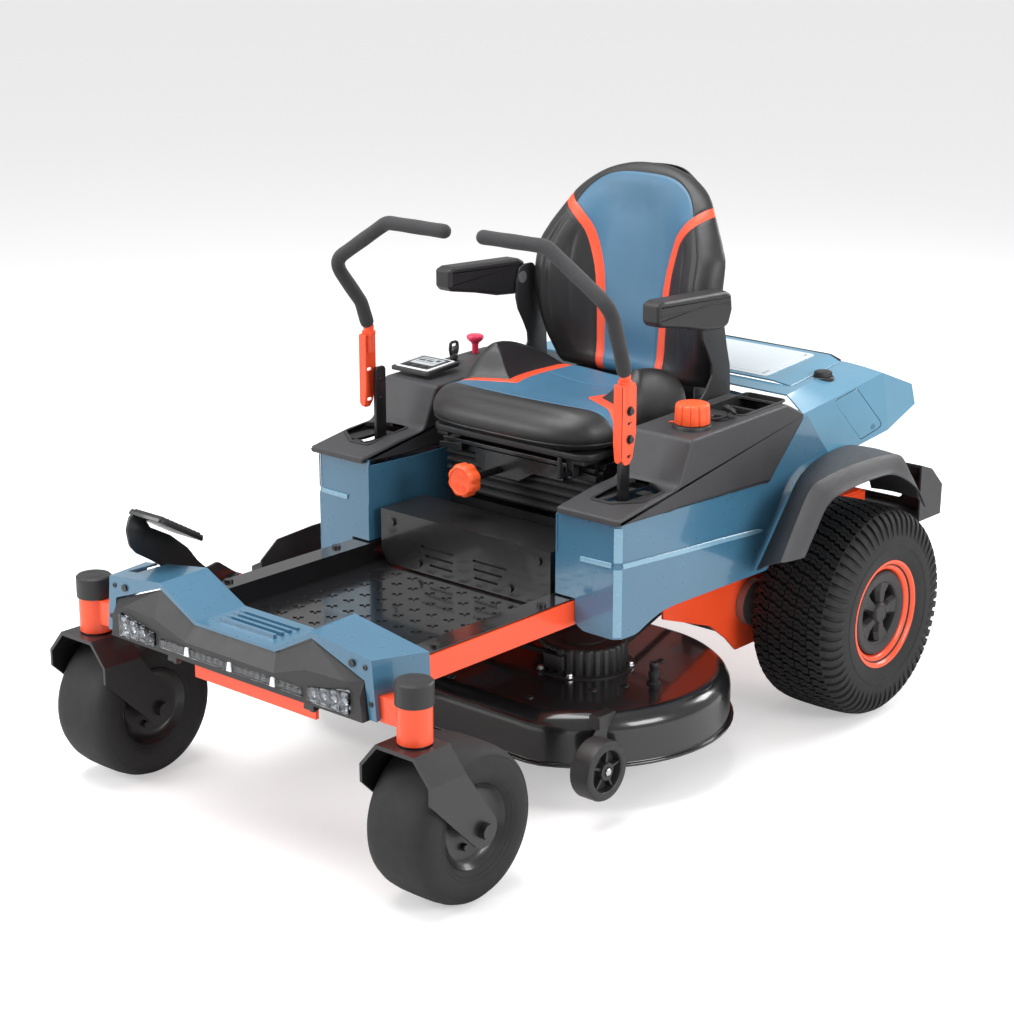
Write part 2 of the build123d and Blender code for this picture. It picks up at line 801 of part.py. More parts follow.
# ------------------------------------------------------------------ seat suspension
def suspension_base():
    with BuildPart() as base:
        block((380, 360, 4), (0, -380, 402))
        # side walls, and feet reaching out over the rails
        for side in SIDES:
            block((4, 360, 78), (side * 188, -380, 439))
            for station in (-500, -260):
                block((130, 40, 7), (side * 237, station, 396.5))
        # front wall
        block((380, 4, 78), (0, -558, 439))
    return base.part


def bellows():
    width, length, wall, height = 444, 350, 12, 94
    with BuildPart() as sleeve:
        with BuildSketch(level(480)):
            with Locations((0, y_at(-370))):
                RectangleRounded(width, length, 14)
        extrude(amount=height)
        with BuildSketch(level(480)):
            with Locations((0, y_at(-370))):
                RectangleRounded(width - 2 * wall, length - 2 * wall, 10)
        extrude(amount=height, mode=CUT)
    return sleeve.part


# front lip that carries the knob, (x, z)
KNOB_LIP = [(-120, 590), (-120, 562), (-95, 540), (0, 540), (40, 562), (120, 562), (120, 590)]


def suspension_top():
    with BuildPart() as top:
        block((434, 372, 20), (0, -366, 587))
        for side in SIDES:
            block((30, 372, 15), (side * 185, -366, 604.5))
        with BuildSketch(cross_plane(-552)):
            outline(KNOB_LIP)
        extrude(amount=8)
        rod_y(KNOB_SHAFT_R + RUN, 20, (KNOB_X, -556, KNOB_Z), mode=CUT)
    return top.part


def suspension_knob():
    with BuildPart() as knob:
        # fluted head with a rounded front edge
        with BuildSketch(cross_plane(-653)):
            with Locations((KNOB_X, KNOB_Z)):
                Circle(36)
                with PolarLocations(39, 8):
                    Circle(7, mode=CUT)
        extrude(amount=30)
        fillet(knob.faces().sort_by(Axis.Y)[0].edges(), 4)
        rod_y(KNOB_SHAFT_R, 104, (KNOB_X, -602, KNOB_Z))
    return knob.part


def seat_adjust_lever():
    bend = -620
    with BuildPart() as lever:
        rod_y(SLIDE_R, 54, (SLIDE_X, -593, SLIDE_Z))
        upright(SLIDE_R, SLIDE_Z - 1, 42, (SLIDE_X, bend))
        # rounds off the corner between the two
        with Locations((SLIDE_X, y_at(bend), SLIDE_Z)):
            Sphere(SLIDE_R)
    return lever.part


# ------------------------------------------------------------------ seat
SEAT_HALF_WIDTH = 254   # slab that the back parts are trimmed from
# side views, (station, z)
SHELL_SIDE = [
    (-174, 638), (-174, 706), (-171, 752), (-137, 786), (-94, 860.5), (-69, 1000),
    (-79, 1138), (-62, 1138), (-52, 1000), (-77, 860), (-122, 778), (-158, 748),
    (-158, 622), (-174, 622)]
BACK_SIDE = [
    (-200, 706), (-135, 1116), (-104, 1150), (-92, 1152), (-80, 1140), (-70, 1000),
    (-95, 860), (-138, 785), (-172, 752), (-175, 706)]
ARM_BRACKET = [(-290, 875), (-290, 912), (-235, 918), (-75, 918), (-70, 868), (-235, 868)]
ARMREST = [
    (-486, 872), (-474, 858), (-400, 852), (-262, 856), (-245, 868), (-241, 900),
    (-246, 924), (-262, 930), (-478, 938), (-486, 930)]
# front views, right half, (x, z)
SHELL_FRONT = [
    (-165, 600), (-165, 706), (-235, 820), (-241, 868), (-254, 868), (-254, 918),
    (-244, 918), (-248, 960), (-200, 1060), (-120, 1150)]
BACK_FRONT = [(-165, 706), (-235, 820), (-247, 960), (-200, 1060), (-120, 1152)]


def seat_frame():
    with BuildPart() as frame:
        # back shell: side view trimmed to the front view
        with BuildSketch(side_plane(-SEAT_HALF_WIDTH)):
            side_outline(SHELL_SIDE)
        extrude(amount=2 * SEAT_HALF_WIDTH)
        with BuildSketch(cross_plane(-30)):
            outline(symmetric(*SHELL_FRONT))
        extrude(amount=600, mode=Mode.INTERSECT)
        # pan with its two runners
        block((430, 442, 16), (0, -379, 630))
        for side in SIDES:
            block((30, 420, 10), (side * 185, -380, 617.5))
        # lug that carries the slide release
        block((20, 18, 42), (SLIDE_X, -581, 602))
        rod_y(SLIDE_R + RUN, 30, (SLIDE_X, -581, SLIDE_Z), mode=CUT)
        # armrest brackets and pins
        for side in SIDES:
            with BuildSketch(side_plane(side * 251.5, 5)):
                side_outline(ARM_BRACKET)
            extrude(amount=5)
            rod_x(ARM_PIN_R, 50, (side * 275, ARM_STATION, ARM_Z))
    return frame.part


def seat_cushion():
    with BuildPart() as cushion:
        with BuildSketch(level(639)):
            with Locations((0, y_at(-423))):
                RectangleRounded(476, 434, 60)
        extrude(amount=96)
        fillet(cushion.faces().sort_by(Axis.Z)[-1].edges(), 26)
        fillet(cushion.faces().sort_by(Axis.Z)[0].edges(), 10)
    return cushion.part


def seat_back():
    with BuildPart() as back:
        with BuildSketch(side_plane(-SEAT_HALF_WIDTH)):
            side_outline(BACK_SIDE)
        extrude(amount=2 * SEAT_HALF_WIDTH)
        with BuildSketch(cross_plane(-30)):
            outline(symmetric(*BACK_FRONT))
        extrude(amount=300, mode=Mode.INTERSECT)
    return back.part


def left_armrest():
    with BuildPart() as armrest:
        with BuildSketch(side_plane(256)):
            side_outline(ARMREST)
        extrude(amount=46)
        rod_x(ARM_PIN_R + RUN, 60, (275, ARM_STATION, ARM_Z), mode=CUT)
    return armrest.part


# ------------------------------------------------------------------ steering levers
def left_lever_yoke():
    with BuildPart() as yoke:
        block((45, 48, 31), (322.5, LEVER_STATION, 480.5))
        # two ears and the pin that carries the lap bar
        for offset in (-21, 21):
            block((30, 6, 34), (BAR_X, LEVER_STATION + offset, 510))
        rod_y(BAR_PIN_R, 48, (BAR_X, LEVER_STATION, BAR_Z))
        rod_x(LEVER_PIN_R + RUN, 60, (322.5, LEVER_STATION, LEVER_Z), mode=CUT)
    return yoke.part


def left_lap_bar():
    half_thickness, bar_top = 4, 742
    bracket_z, bracket_height = 735.5, 161
    with BuildPart() as lap_bar:
        # flat lower bar with its eye
        with BuildSketch(cross_plane(-614)):
            outline([
                (BAR_X - half_thickness, BAR_Z), (BAR_X + half_thickness, BAR_Z),
                (BAR_X + half_thickness, bar_top), (BAR_X - half_thickness, bar_top)])
            with Locations((BAR_X, BAR_Z)):
                Circle(12)
        extrude(amount=30)
        rod_y(BAR_PIN_R + RUN, 60, (BAR_X, LEVER_STATION, BAR_Z), mode=CUT)
        # upper angle bracket, two bolts and handle tube
        block((6, 40, bracket_height), (338, -642, bracket_z))
        block((28, 4, bracket_height), (351, -664, bracket_z))
        for z in (672, 712):
            rod_x(7, 24, (334.5, -630, z))
        upright(12.5, 775, 47, (345, -646))
    return lap_bar.part


# centreline of the grip from the tube up and in over the lap, (x, station, z)
GRIP_PATH = [
    (345, -646, 829.5), (346, -668, 887), (367, -721, 976), (210, -721.5, 1073.6),
    (37.6, -723.6, 1073.6)]


def left_grip():
    with BuildPart() as grip:
        with BuildLine() as path:
            FilletPolyline(*[(x, y_at(station), z) for x, station, z in GRIP_PATH], radius=34)
        with BuildSketch(Plane(origin=path.line @ 0, z_dir=path.line % 0)):
            Circle(14.5)
        sweep()
    return grip.part


# ------------------------------------------------------------------ deck
def deck_outline(radius):
    """Two round lobes bridged front and rear; adds to the open sketch."""
    with Locations(*plan((-LOBE_X, LOBE_STATION), (LOBE_X, LOBE_STATION))):
        Circle(radius)
    with Locations((0, y_at(LOBE_STATION))):
        Rectangle(2 * LOBE_X, 2 * radius)


def trim_front(station):
    """Cuts a strip centred on the station off the open sketch."""
    with Locations((0, y_at(station))):
        Rectangle(900, 60, mode=CUT)


# chute hinge bracket, (x, z)
HINGE_BRACKET = [(-514, 184), (-514, 196), (-500, 198), (-462, 190), (-462, 160), (-500, 170)]
# gauge wheel bracket, (station, z)
GAUGE_BRACKET = [(-770, 176), (-770, 130), (-862, 108), (-866, 132), (-820, 176)]


def deck_shell():
    edge_chamfer = 24
    spindles = [(side * SPINDLE_X, SPINDLE_STATION) for side in SIDES]
    with BuildPart() as deck:
        with BuildSketch(level(DECK_RIM)):
            deck_outline(LOBE_R)
        extrude(amount=DECK_TOP - DECK_RIM)
        chamfer(deck.faces().sort_by(Axis.Z)[-1].edges(), edge_chamfer)
        # flat front
        block((900, 60, 120), (0, -900, 150), mode=CUT)
        # rim flange
        with BuildSketch(level(DECK_RIM)):
            deck_outline(LOBE_R + 8)
            trim_front(-908)
        extrude(amount=3)
        # chute hinge brackets on the right
        for station in (-723, -457):
            with BuildSketch(cross_plane(station + 2)):
                outline(HINGE_BRACKET)
                with Locations((HINGE[0], HINGE[2])):
                    Circle(9)
            extrude(amount=4)
        # gauge wheel bracket and pin on the left
        with BuildSketch(side_plane(420)):
            side_outline(GAUGE_BRACKET)
        extrude(amount=6)
        rod_x(GAUGE_PIN_R, 58, (449, GAUGE_STATION, GAUGE_Z))
        # hollow underside: the skirt, then the narrower space under the chamfered top
        with BuildSketch(level(DECK_RIM - 1)):
            deck_outline(LOBE_R - 3)
            trim_front(-897)
        extrude(amount=DECK_TOP - DECK_RIM - 26, mode=CUT)
        with BuildSketch(level(150)):
            deck_outline(LOBE_R - 28)
            trim_front(-872)
        extrude(amount=47, mode=CUT)
        # wall between the two cutting chambers, front and rear
        with BuildSketch(level(120)):
            with Locations(*plan((0, -842), (0, -335))):
                Rectangle(8, 90)
        extrude(amount=70)
        # spindle housings and shaft bores
        upright(46, 170, 42, *spindles)
        upright(SPINDLE_R + RUN, 150, 90, *spindles, mode=CUT)
        # discharge opening on the right, and the hinge bore
        block((260, 220, 92), (-560, -590, 142), mode=CUT)
        rod_y(HINGE_R + RUN, 320, HINGE, mode=CUT)
        # clearance for the gauge wheel, sparing its pin
        with BuildSketch(side_plane(428)):
            with Locations((y_at(GAUGE_STATION), GAUGE_Z)):
                Circle(65)
                Circle(10, mode=CUT)
        extrude(amount=55, mode=CUT)
        # wash-out port
        upright(8, 195, 50, (385, -590))
        upright(4, 190, 60, (385, -590), mode=CUT)
    return deck.part


def spindle_covers():
    height, top_thickness = 58, 4
    with BuildPart() as covers:
        for side in SIDES:
            centre = (side * SPINDLE_X, SPINDLE_STATION)
            # fluted drum
            with BuildSketch(level(DECK_TOP)):
                with Locations(*plan(centre)):
                    Circle(90)
                    with PolarLocations(91.5, 28):
                        Circle(3.5, mode=CUT)
            extrude(amount=height)
            upright(84, DECK_TOP, height - top_thickness, centre, mode=CUT)
            # belt exits
            block((110, 210, 38), (side * 150, -585, 230), mode=CUT)
            block((150, 70, 38), (side * 200, -505, 230), mode=CUT)
    return covers.part


def left_cutting_spindle():
    centre = (SPINDLE_X, SPINDLE_STATION)
    blade_z = 110
    nut_height = 6
    with BuildPart() as spindle:
        upright(SPINDLE_R, 108, 138, centre)
        upright(SPINDLE_PULLEY_R, PULLEY_Z, PULLEY_H, centre)
        # blade with round ends
        with BuildSketch(level(blade_z)):
            with Locations(*plan(centre)):
                Rectangle(2 * BLADE_R, 62, rotation=35)
                Circle(BLADE_R, mode=Mode.INTERSECT)
        extrude(amount=5)
        # nut below the blade
        with BuildSketch(level(blade_z - nut_height)):
            with Locations(*plan(centre)):
                RegularPolygon(17, 6)
        extrude(amount=nut_height)
    return spindle.part


def deck_belt():
    # the belt runs from 0.2 to 8 outside the pulley rims
    with BuildPart() as belt:
        for margin, mode in ((8, Mode.ADD), (0.2, CUT)):
            with BuildSketch(level(PULLEY_Z + 10)):
                with Locations(*plan((-SPINDLE_X, SPINDLE_STATION), (SPINDLE_X, SPINDLE_STATION))):
                    Circle(SPINDLE_PULLEY_R + margin)
                with Locations((0, y_at(ENGINE_STATION))):
                    Circle(ENGINE_PULLEY_R + margin)
                make_hull()
            extrude(amount=10, mode=mode)
    return belt.part


def antiscalp_wheel():
    width = 50
    centre = (y_at(GAUGE_STATION), GAUGE_Z)
    with BuildPart() as wheel:
        with BuildSketch(side_plane(GAUGE_X, width)):
            with Locations(centre):
                Circle(60)
        extrude(amount=width)
        fillet(wheel.edges().filter_by(GeomType.CIRCLE), 8)
        # recess around the hub on the outer face
        with BuildSketch(side_plane(462)):
            with Locations(centre):
                Circle(38)
                Circle(18, mode=CUT)
        extrude(amount=30, mode=CUT)
        rod_x(GAUGE_PIN_R + RUN, 60, (GAUGE_X, GAUGE_STATION, GAUGE_Z), mode=CUT)
    return wheel.part


# (station, z)
CHUTE_PLATE = [
    (-815, 204), (-815, 318), (-765, 355), (-660, 362), (-450, 362), (-430, 340), (-430, 204)]
# (x, z)
CHUTE_FLANGE = [(-515, 210), (-545, 240), (-545, 300), (-515, 316)]
CHUTE_WEB = [(-517, 212), (-517, 196), (-509, 188), (-503, 192), (-513, 200), (-513, 212)]


def discharge_chute():
    with BuildPart() as chute:
        with BuildSketch(side_plane(-517)):
            side_outline(CHUTE_PLATE)
        extrude(amount=4)
        # stiffening flanges
        for station in (-811, -430):
            with BuildSketch(cross_plane(station)):
                outline(CHUTE_FLANGE)
            extrude(amount=4)
        # hinge rod and the webs that hold it
        rod_y(HINGE_R, 300, HINGE)
        for station in (-700, -590, -480):
            with BuildSketch(cross_plane(station + 10)):
                outline(CHUTE_WEB)
            extrude(amount=20)
    return chute.part


# ------------------------------------------------------------------ deck lift pedal
# arm, (station, z): lower edge going forward, then the upper edge going back
PEDAL_ARM = [
    (-1050, 354), (-1085, 372), (-1120, 378), (-1180, 410), (-1238, 448), (-1262, 466),
    (-1300, 490), (-1315, 508), (-1321, 540), (-1313, 564), (-1303, 572), (-1276, 556),
    (-1264, 535), (-1215, 508), (-1172, 472), (-1148, 440), (-1125, 418), (-1095, 424),
    (-1062, 400), (-1045, 388)]


def lift_pedal():
    pivot = (-332.5, PEDAL_STATION, PEDAL_Z)
    with BuildPart() as pedal:
        with BuildSketch(side_plane(-336)):
            side_outline(PEDAL_ARM)
        extrude(amount=6)
        rod_x(PEDAL_BOSS_R, 25, pivot)
        # foot plate, sloping down to the rear
        with Locations(Location((-299, y_at(-1250), 541), (-30.5, 0, 0))):
            Box(98, 124, 8)
        rod_x(PEDAL_PIN_R + RUN, 40, pivot, mode=CUT)
    return pedal.part


# ------------------------------------------------------------------ visible fasteners
# (station of the back face, radius, length forward, (x, z) centres):
# toe box heads, toe box shanks, bumper heads
FORWARD_BOLTS = [
    (-730, 9, 5, TOE_BOLTS), (-722, 4.2, 8, TOE_BOLTS), (-1350, 7, 4, [(-308, 438), (308, 438)])]


def frame_bolts():
    with BuildPart() as bolts:
        for station, radius, length, centres in FORWARD_BOLTS:
            with BuildSketch(cross_plane(station)):
                with Locations(*centres):
                    Circle(radius)
            extrude(amount=length)
        # heads on the floor pan flanges
        upright(9, 397, 5, (-281, -1112), (281, -1112), (-281, -814), (281, -814))
    return bolts.part


# ------------------------------------------------------------------ build and export
def mirrored(part):
    with BuildPart() as opposite:
        mirror(part, about=Plane.YZ)
    return opposite.part


def save(part, name):
    part.label = name
    export_step(part, f"parts/{name}.step")


# Each function is named after the piece it builds.
SINGLE_PIECES = [
    main_frame, caster_caps, transaxles, floor_pan, toe_box, bumper_cover, front_fascia,
    front_lights, side_panels, left_console, right_console, display_panel, ignition_key,
    pto_knob, height_dial, rear_fenders, rear_shroud, access_door, fuel_cap, hood,
    rear_bumper, engine, engine_pulley, suspension_base, bellows, suspension_top,
    suspension_knob, seat_adjust_lever, seat_frame, seat_cushion, seat_back, deck_shell,
    spindle_covers, deck_belt, antiscalp_wheel, discharge_chute, lift_pedal, frame_bolts]
# Built for the left and mirrored to the right.
PAIRED_PIECES = [
    left_caster_fork, left_caster_rim, left_caster_tyre, left_rear_rim, left_rear_tyre,
    left_wheel_cover, left_armrest, left_lever_yoke, left_lap_bar, left_grip,
    left_cutting_spindle]

for build in SINGLE_PIECES:
    save(build(), build.__name__)

for build in PAIRED_PIECES:
    left_part = build()
    save(left_part, build.__name__)
    save(mirrored(left_part), build.__name__.replace("left", "right"))
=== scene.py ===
import bpy, bmesh, math
from mathutils import Vector, Matrix
from math import sin, cos, pi, radians, sqrt


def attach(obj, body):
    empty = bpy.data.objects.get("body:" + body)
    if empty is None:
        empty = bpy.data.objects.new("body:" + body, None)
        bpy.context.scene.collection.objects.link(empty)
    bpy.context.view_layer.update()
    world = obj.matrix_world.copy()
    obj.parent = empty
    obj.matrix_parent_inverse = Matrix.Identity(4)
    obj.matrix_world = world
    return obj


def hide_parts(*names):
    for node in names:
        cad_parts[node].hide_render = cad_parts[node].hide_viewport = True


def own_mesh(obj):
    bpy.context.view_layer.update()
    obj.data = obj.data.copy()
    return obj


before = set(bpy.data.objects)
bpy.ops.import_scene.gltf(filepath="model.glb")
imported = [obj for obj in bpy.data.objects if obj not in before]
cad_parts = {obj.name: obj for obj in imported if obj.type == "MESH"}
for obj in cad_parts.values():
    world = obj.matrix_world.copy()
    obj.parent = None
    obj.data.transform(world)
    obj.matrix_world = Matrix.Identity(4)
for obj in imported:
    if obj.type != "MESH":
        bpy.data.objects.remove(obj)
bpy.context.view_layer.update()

# ------------------------------------------------------------------ helpers
AX = 498.0                      # rear axle station, mm


def M(x, d, z):
    """Millimetres, station from the rear axle -> metres in the row frame."""
    return Vector((x / 1000.0, (AX + d) / 1000.0, z / 1000.0))


def obj_from(name, verts, faces, smooth=35):
    me = bpy.data.meshes.new(name)
    me.from_pydata([tuple(v) for v in verts], [], faces)
    me.validate()
    bm = bmesh.new()
    bm.from_mesh(me)
    bmesh.ops.remove_doubles(bm, verts=bm.verts, dist=1e-6)
    bmesh.ops.recalc_face_normals(bm, faces=bm.faces)
    bm.to_mesh(me)
    bm.free()
    me.shade_smooth()
    if smooth:
        me.set_sharp_from_angle(angle=radians(smooth))
    o = bpy.data.objects.new(name, me)
    bpy.context.scene.collection.objects.link(o)
    return o


def dress(o, mat, body, rep=(), bevel=0, seg=3, angle=30):
    """Material, edge rounding, body and the CAD nodes it stands for."""
    if mat is not None:
        o.data.materials.clear()
        o.data.materials.append(mat)
    if bevel:
        m = o.modifiers.new("edge", "BEVEL")
        m.width = bevel / 1000.0
        m.segments = seg
        m.limit_method = "ANGLE"
        m.angle_limit = radians(angle)
        m.harden_normals = False
        w = o.modifiers.new("wn", "WEIGHTED_NORMAL")
        w.keep_sharp = False
        w.weight = 60
        o.data.shade_smooth()
        for e in o.data.edges:
            e.use_edge_sharp = False
    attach(o, body)
    if rep:
        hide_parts(*rep)
    return o


def apply_mods(o):
    dg = bpy.context.evaluated_depsgraph_get()
    dg.update()
    me = bpy.data.meshes.new_from_object(o.evaluated_get(dg))
    old = o.data
    o.modifiers.clear()
    o.data = me
    bpy.data.meshes.remove(old)
    return o


def boolean(o, cutters, op="DIFFERENCE"):
    if not isinstance(cutters, (list, tuple)):
        cutters = [cutters]
    for c in cutters:
        m = o.modifiers.new("b", "BOOLEAN")
        m.operation = op
        m.solver = "EXACT"
        m.object = c
        apply_mods(o)
        me = c.data
        bpy.data.objects.remove(c)
        bpy.data.meshes.remove(me)
    return o


def join(name, objs):
    bm = bmesh.new()
    mats = []
    for o in objs:
        tmp = o.data.copy()
        tmp.transform(o.matrix_world)
        off = {}
        for i, m in enumerate(tmp.materials):
            if m not in mats:
                mats.append(m)
            off[i] = mats.index(m)
        for p in tmp.polygons:
            p.material_index = off.get(p.material_index, 0)
        bm.from_mesh(tmp)
        bpy.data.meshes.remove(tmp)
    me = bpy.data.meshes.new(name)
    bm.to_mesh(me)
    bm.free()
    for m in mats:
        me.materials.append(m)
    out = bpy.data.objects.new(name, me)
    bpy.context.scene.collection.objects.link(out)
    for o in objs:
        old = o.data
        bpy.data.objects.remove(o)
        if old.users == 0:
            bpy.data.meshes.remove(old)
    return out


def area2(p):
    return sum(p[i][0] * p[(i + 1) % len(p)][1] - p[(i + 1) % len(p)][0] * p[i][1] for i in range(len(p)))


def round_poly(pts, r, n=5):
    """Rounds each corner of a 2-D polygon. r is one radius or one per point."""
    out = []
    N = len(pts)
    for i in range(N):
        p0, p1, p2 = Vector(pts[i - 1]), Vector(pts[i]), Vector(pts[(i + 1) % N])
        rr = r[i] if isinstance(r, (list, tuple)) else r
        a, b = (p0 - p1), (p2 - p1)
        la, lb = a.length, b.length
        if rr <= 0 or la < 1e-9 or lb < 1e-9:
            out.append(tuple(p1))
            continue
        a.normalize()
        b.normalize()
        ang = a.angle(b)
        if ang > pi - 0.02:
            out.append(tuple(p1))
            continue
        t = rr / math.tan(ang / 2)
        t = min(t, la * 0.49, lb * 0.49)
        s, e = p1 + a * t, p1 + b * t
        for k in range(n + 1):
            u = k / n
            q = s * (1 - u) ** 2 + p1 * 2 * u * (1 - u) + e * u * u
            out.append((q.x, q.y))
    return out


def prism(name, pts, plane, a, b, smooth=35):
    """Closed prism. plane 'yz': pts are (station, z), swept along x from a to b.
    'xz': pts (x, z), swept along the station. 'xy': pts (x, station), swept along z."""
    def at(p, w):
        if plane == "yz":
            return M(w, p[0], p[1])
        if plane == "xz":
            return M(p[0], w, p[1])
        return M(p[0], p[1], w)
    n = len(pts)
    v = [at(p, a) for p in pts] + [at(p, b) for p in pts]
    f = [list(range(n))[::-1], list(range(n, 2 * n))]
    f += [[i, (i + 1) % n, n + (i + 1) % n, n + i] for i in range(n)]
    return obj_from(name, v, f, smooth)


def loft(name, sections, caps=True, closed=True, smooth=35):
    """sections: loops of Vectors, all the same length."""
    n = len(sections[0])
    v = [p for s in sections for p in s]
    f = []
    for k in range(len(sections) - 1):
        for i in range(n if closed else n - 1):
            j = (i + 1) % n
            f.append([k * n + i, k * n + j, (k + 1) * n + j, (k + 1) * n + i])
    if caps:
        f.append(list(range(n))[::-1])
        f.append([(len(sections) - 1) * n + i for i in range(n)])
    return obj_from(name, v, f, smooth)


def box(name, x0, x1, d0, d1, z0, z1):
    return prism(name, [(x0, d0), (x1, d0), (x1, d1), (x0, d1)], "xy", z0, z1, 30)


def revolve(name, prof, c, axis, n=64, smooth=40, arc=2 * pi):
    """prof: (radius, along) mm pairs. axis 'x','y','z' through centre c = (x, d, z)."""
    v, f = [], []
    full = abs(arc - 2 * pi) < 1e-6
    cols = n if full else n + 1
    for i in range(cols):
        t = arc * i / n
        for r, a in prof:
            if axis == "x":
                v.append(M(c[0] + a, c[1] + r * cos(t), c[2] + r * sin(t)))
            elif axis == "y":
                v.append(M(c[0] + r * cos(t), c[1] + a, c[2] + r * sin(t)))
            else:
                v.append(M(c[0] + r * cos(t), c[1] + r * sin(t), c[2] + a))
    m = len(prof)
    for i in range(n):
        j = (i + 1) % cols
        for k in range(m - 1):
            f.append([i * m + k, j * m + k, j * m + k + 1, i * m + k + 1])
    # close the ends on the axis
    o = obj_from(name, v, f, 0)
    bm = bmesh.new()
    bm.from_mesh(o.data)
    bmesh.ops.remove_doubles(bm, verts=bm.verts, dist=1e-6)
    if full:
        holes = [e for e in bm.edges if e.is_boundary]
        if holes:
            bmesh.ops.holes_fill(bm, edges=holes, sides=0)
    bmesh.ops.recalc_face_normals(bm, faces=bm.faces)
    bm.to_mesh(o.data)
    bm.free()
    o.data.shade_smooth()
    o.data.set_sharp_from_angle(angle=radians(smooth))
    return o


def smooth_path(pts, r, n=6):
    out = []
    N = len(pts)
    for i, p in enumerate(pts):
        p = Vector(p)
        if i in (0, N - 1):
            out.append(p)
            continue
        p0, p2 = Vector(pts[i - 1]), Vector(pts[i + 1])
        a, b = p0 - p, p2 - p
        la, lb = a.length, b.length
        a.normalize()
        b.normalize()
        ang = a.angle(b)
        if ang > pi - 0.03:
            out.append(p)
            continue
        t = min(r / math.tan(ang / 2), la * 0.48, lb * 0.48)
        s, e = p + a * t, p + b * t
        for k in range(n + 1):
            u = k / n
            out.append(s * (1 - u) ** 2 + p * 2 * u * (1 - u) + e * u * u)
    return out


def tube(name, path, r, seg=20, dome=False, smooth=40):
    """path in mm (x, d, z); r a number or a function of the share along."""
    P = [Vector(p) for p in path]
    L = [0]
    for i in range(1, len(P)):
        L.append(L[-1] + (P[i] - P[i - 1]).length)
    rad = r if callable(r) else (lambda t: r)
    secs = []
    up = None
    rows = []
    for i, p in enumerate(P):
        t = (P[min(i + 1, len(P) - 1)] - P[max(i - 1, 0)]).normalized()
        if up is None:
            up = t.orthogonal().normalized()
        else:
            up = (up - t * up.dot(t)).normalized()
        rows.append((p, t, up.copy(), rad(L[i] / L[-1])))
    if dome:
        p, t, u, rr = rows[0]
        pre = [(p + t * (rr * (1 - cos(a))), t, u, rr * sin(a)) for a in (0.15, 0.5, 0.9, 1.3)]
        rows = pre + [q for q in rows if (q[0] - p).dot(t) > rr * 0.95]
        p, t, u, rr = rows[-1]
        rows = [q for q in rows if (p - q[0]).dot(t) > rr * 0.95 or (p - q[0]).length > rr * 4]
        rows += [(p - t * (rr * (1 - cos(a))), t, u, rr * sin(a)) for a in (1.3, 0.9, 0.5, 0.15)]
    for p, t, u, rr in rows:
        w = t.cross(u)
        secs.append([M(*(p + (u * cos(2 * pi * k / seg) + w * sin(2 * pi * k / seg)) * rr)) for k in range(seg)])
    return loft(name, secs, smooth=smooth)


def mirror_x(o, name):
    me = o.data.copy()
    me.transform(Matrix.Scale(-1, 4, (1, 0, 0)))
    me.flip_normals()
    q = bpy.data.objects.new(name, me)
    bpy.context.scene.collection.objects.link(q)
    for m in o.modifiers:
        if m.type in ("BEVEL", "WEIGHTED_NORMAL", "SUBSURF"):
            k = q.modifiers.new(m.name, m.type)
            for a in ("width", "segments", "limit_method", "angle_limit", "keep_sharp", "weight", "levels", "render_levels"):
                if hasattr(m, a):
                    setattr(k, a, getattr(m, a))
    return q


# ------------------------------------------------------------------ materials
def new_mat(name):
    m = bpy.data.materials.new(name)
    m.use_nodes = True
    nt = m.node_tree
    nt.nodes.clear()
    out = nt.nodes.new("ShaderNodeOutputMaterial")
    b = nt.nodes.new("ShaderNodeBsdfPrincipled")
    nt.links.new(b.outputs[0], out.inputs[0])
    return m, nt, b


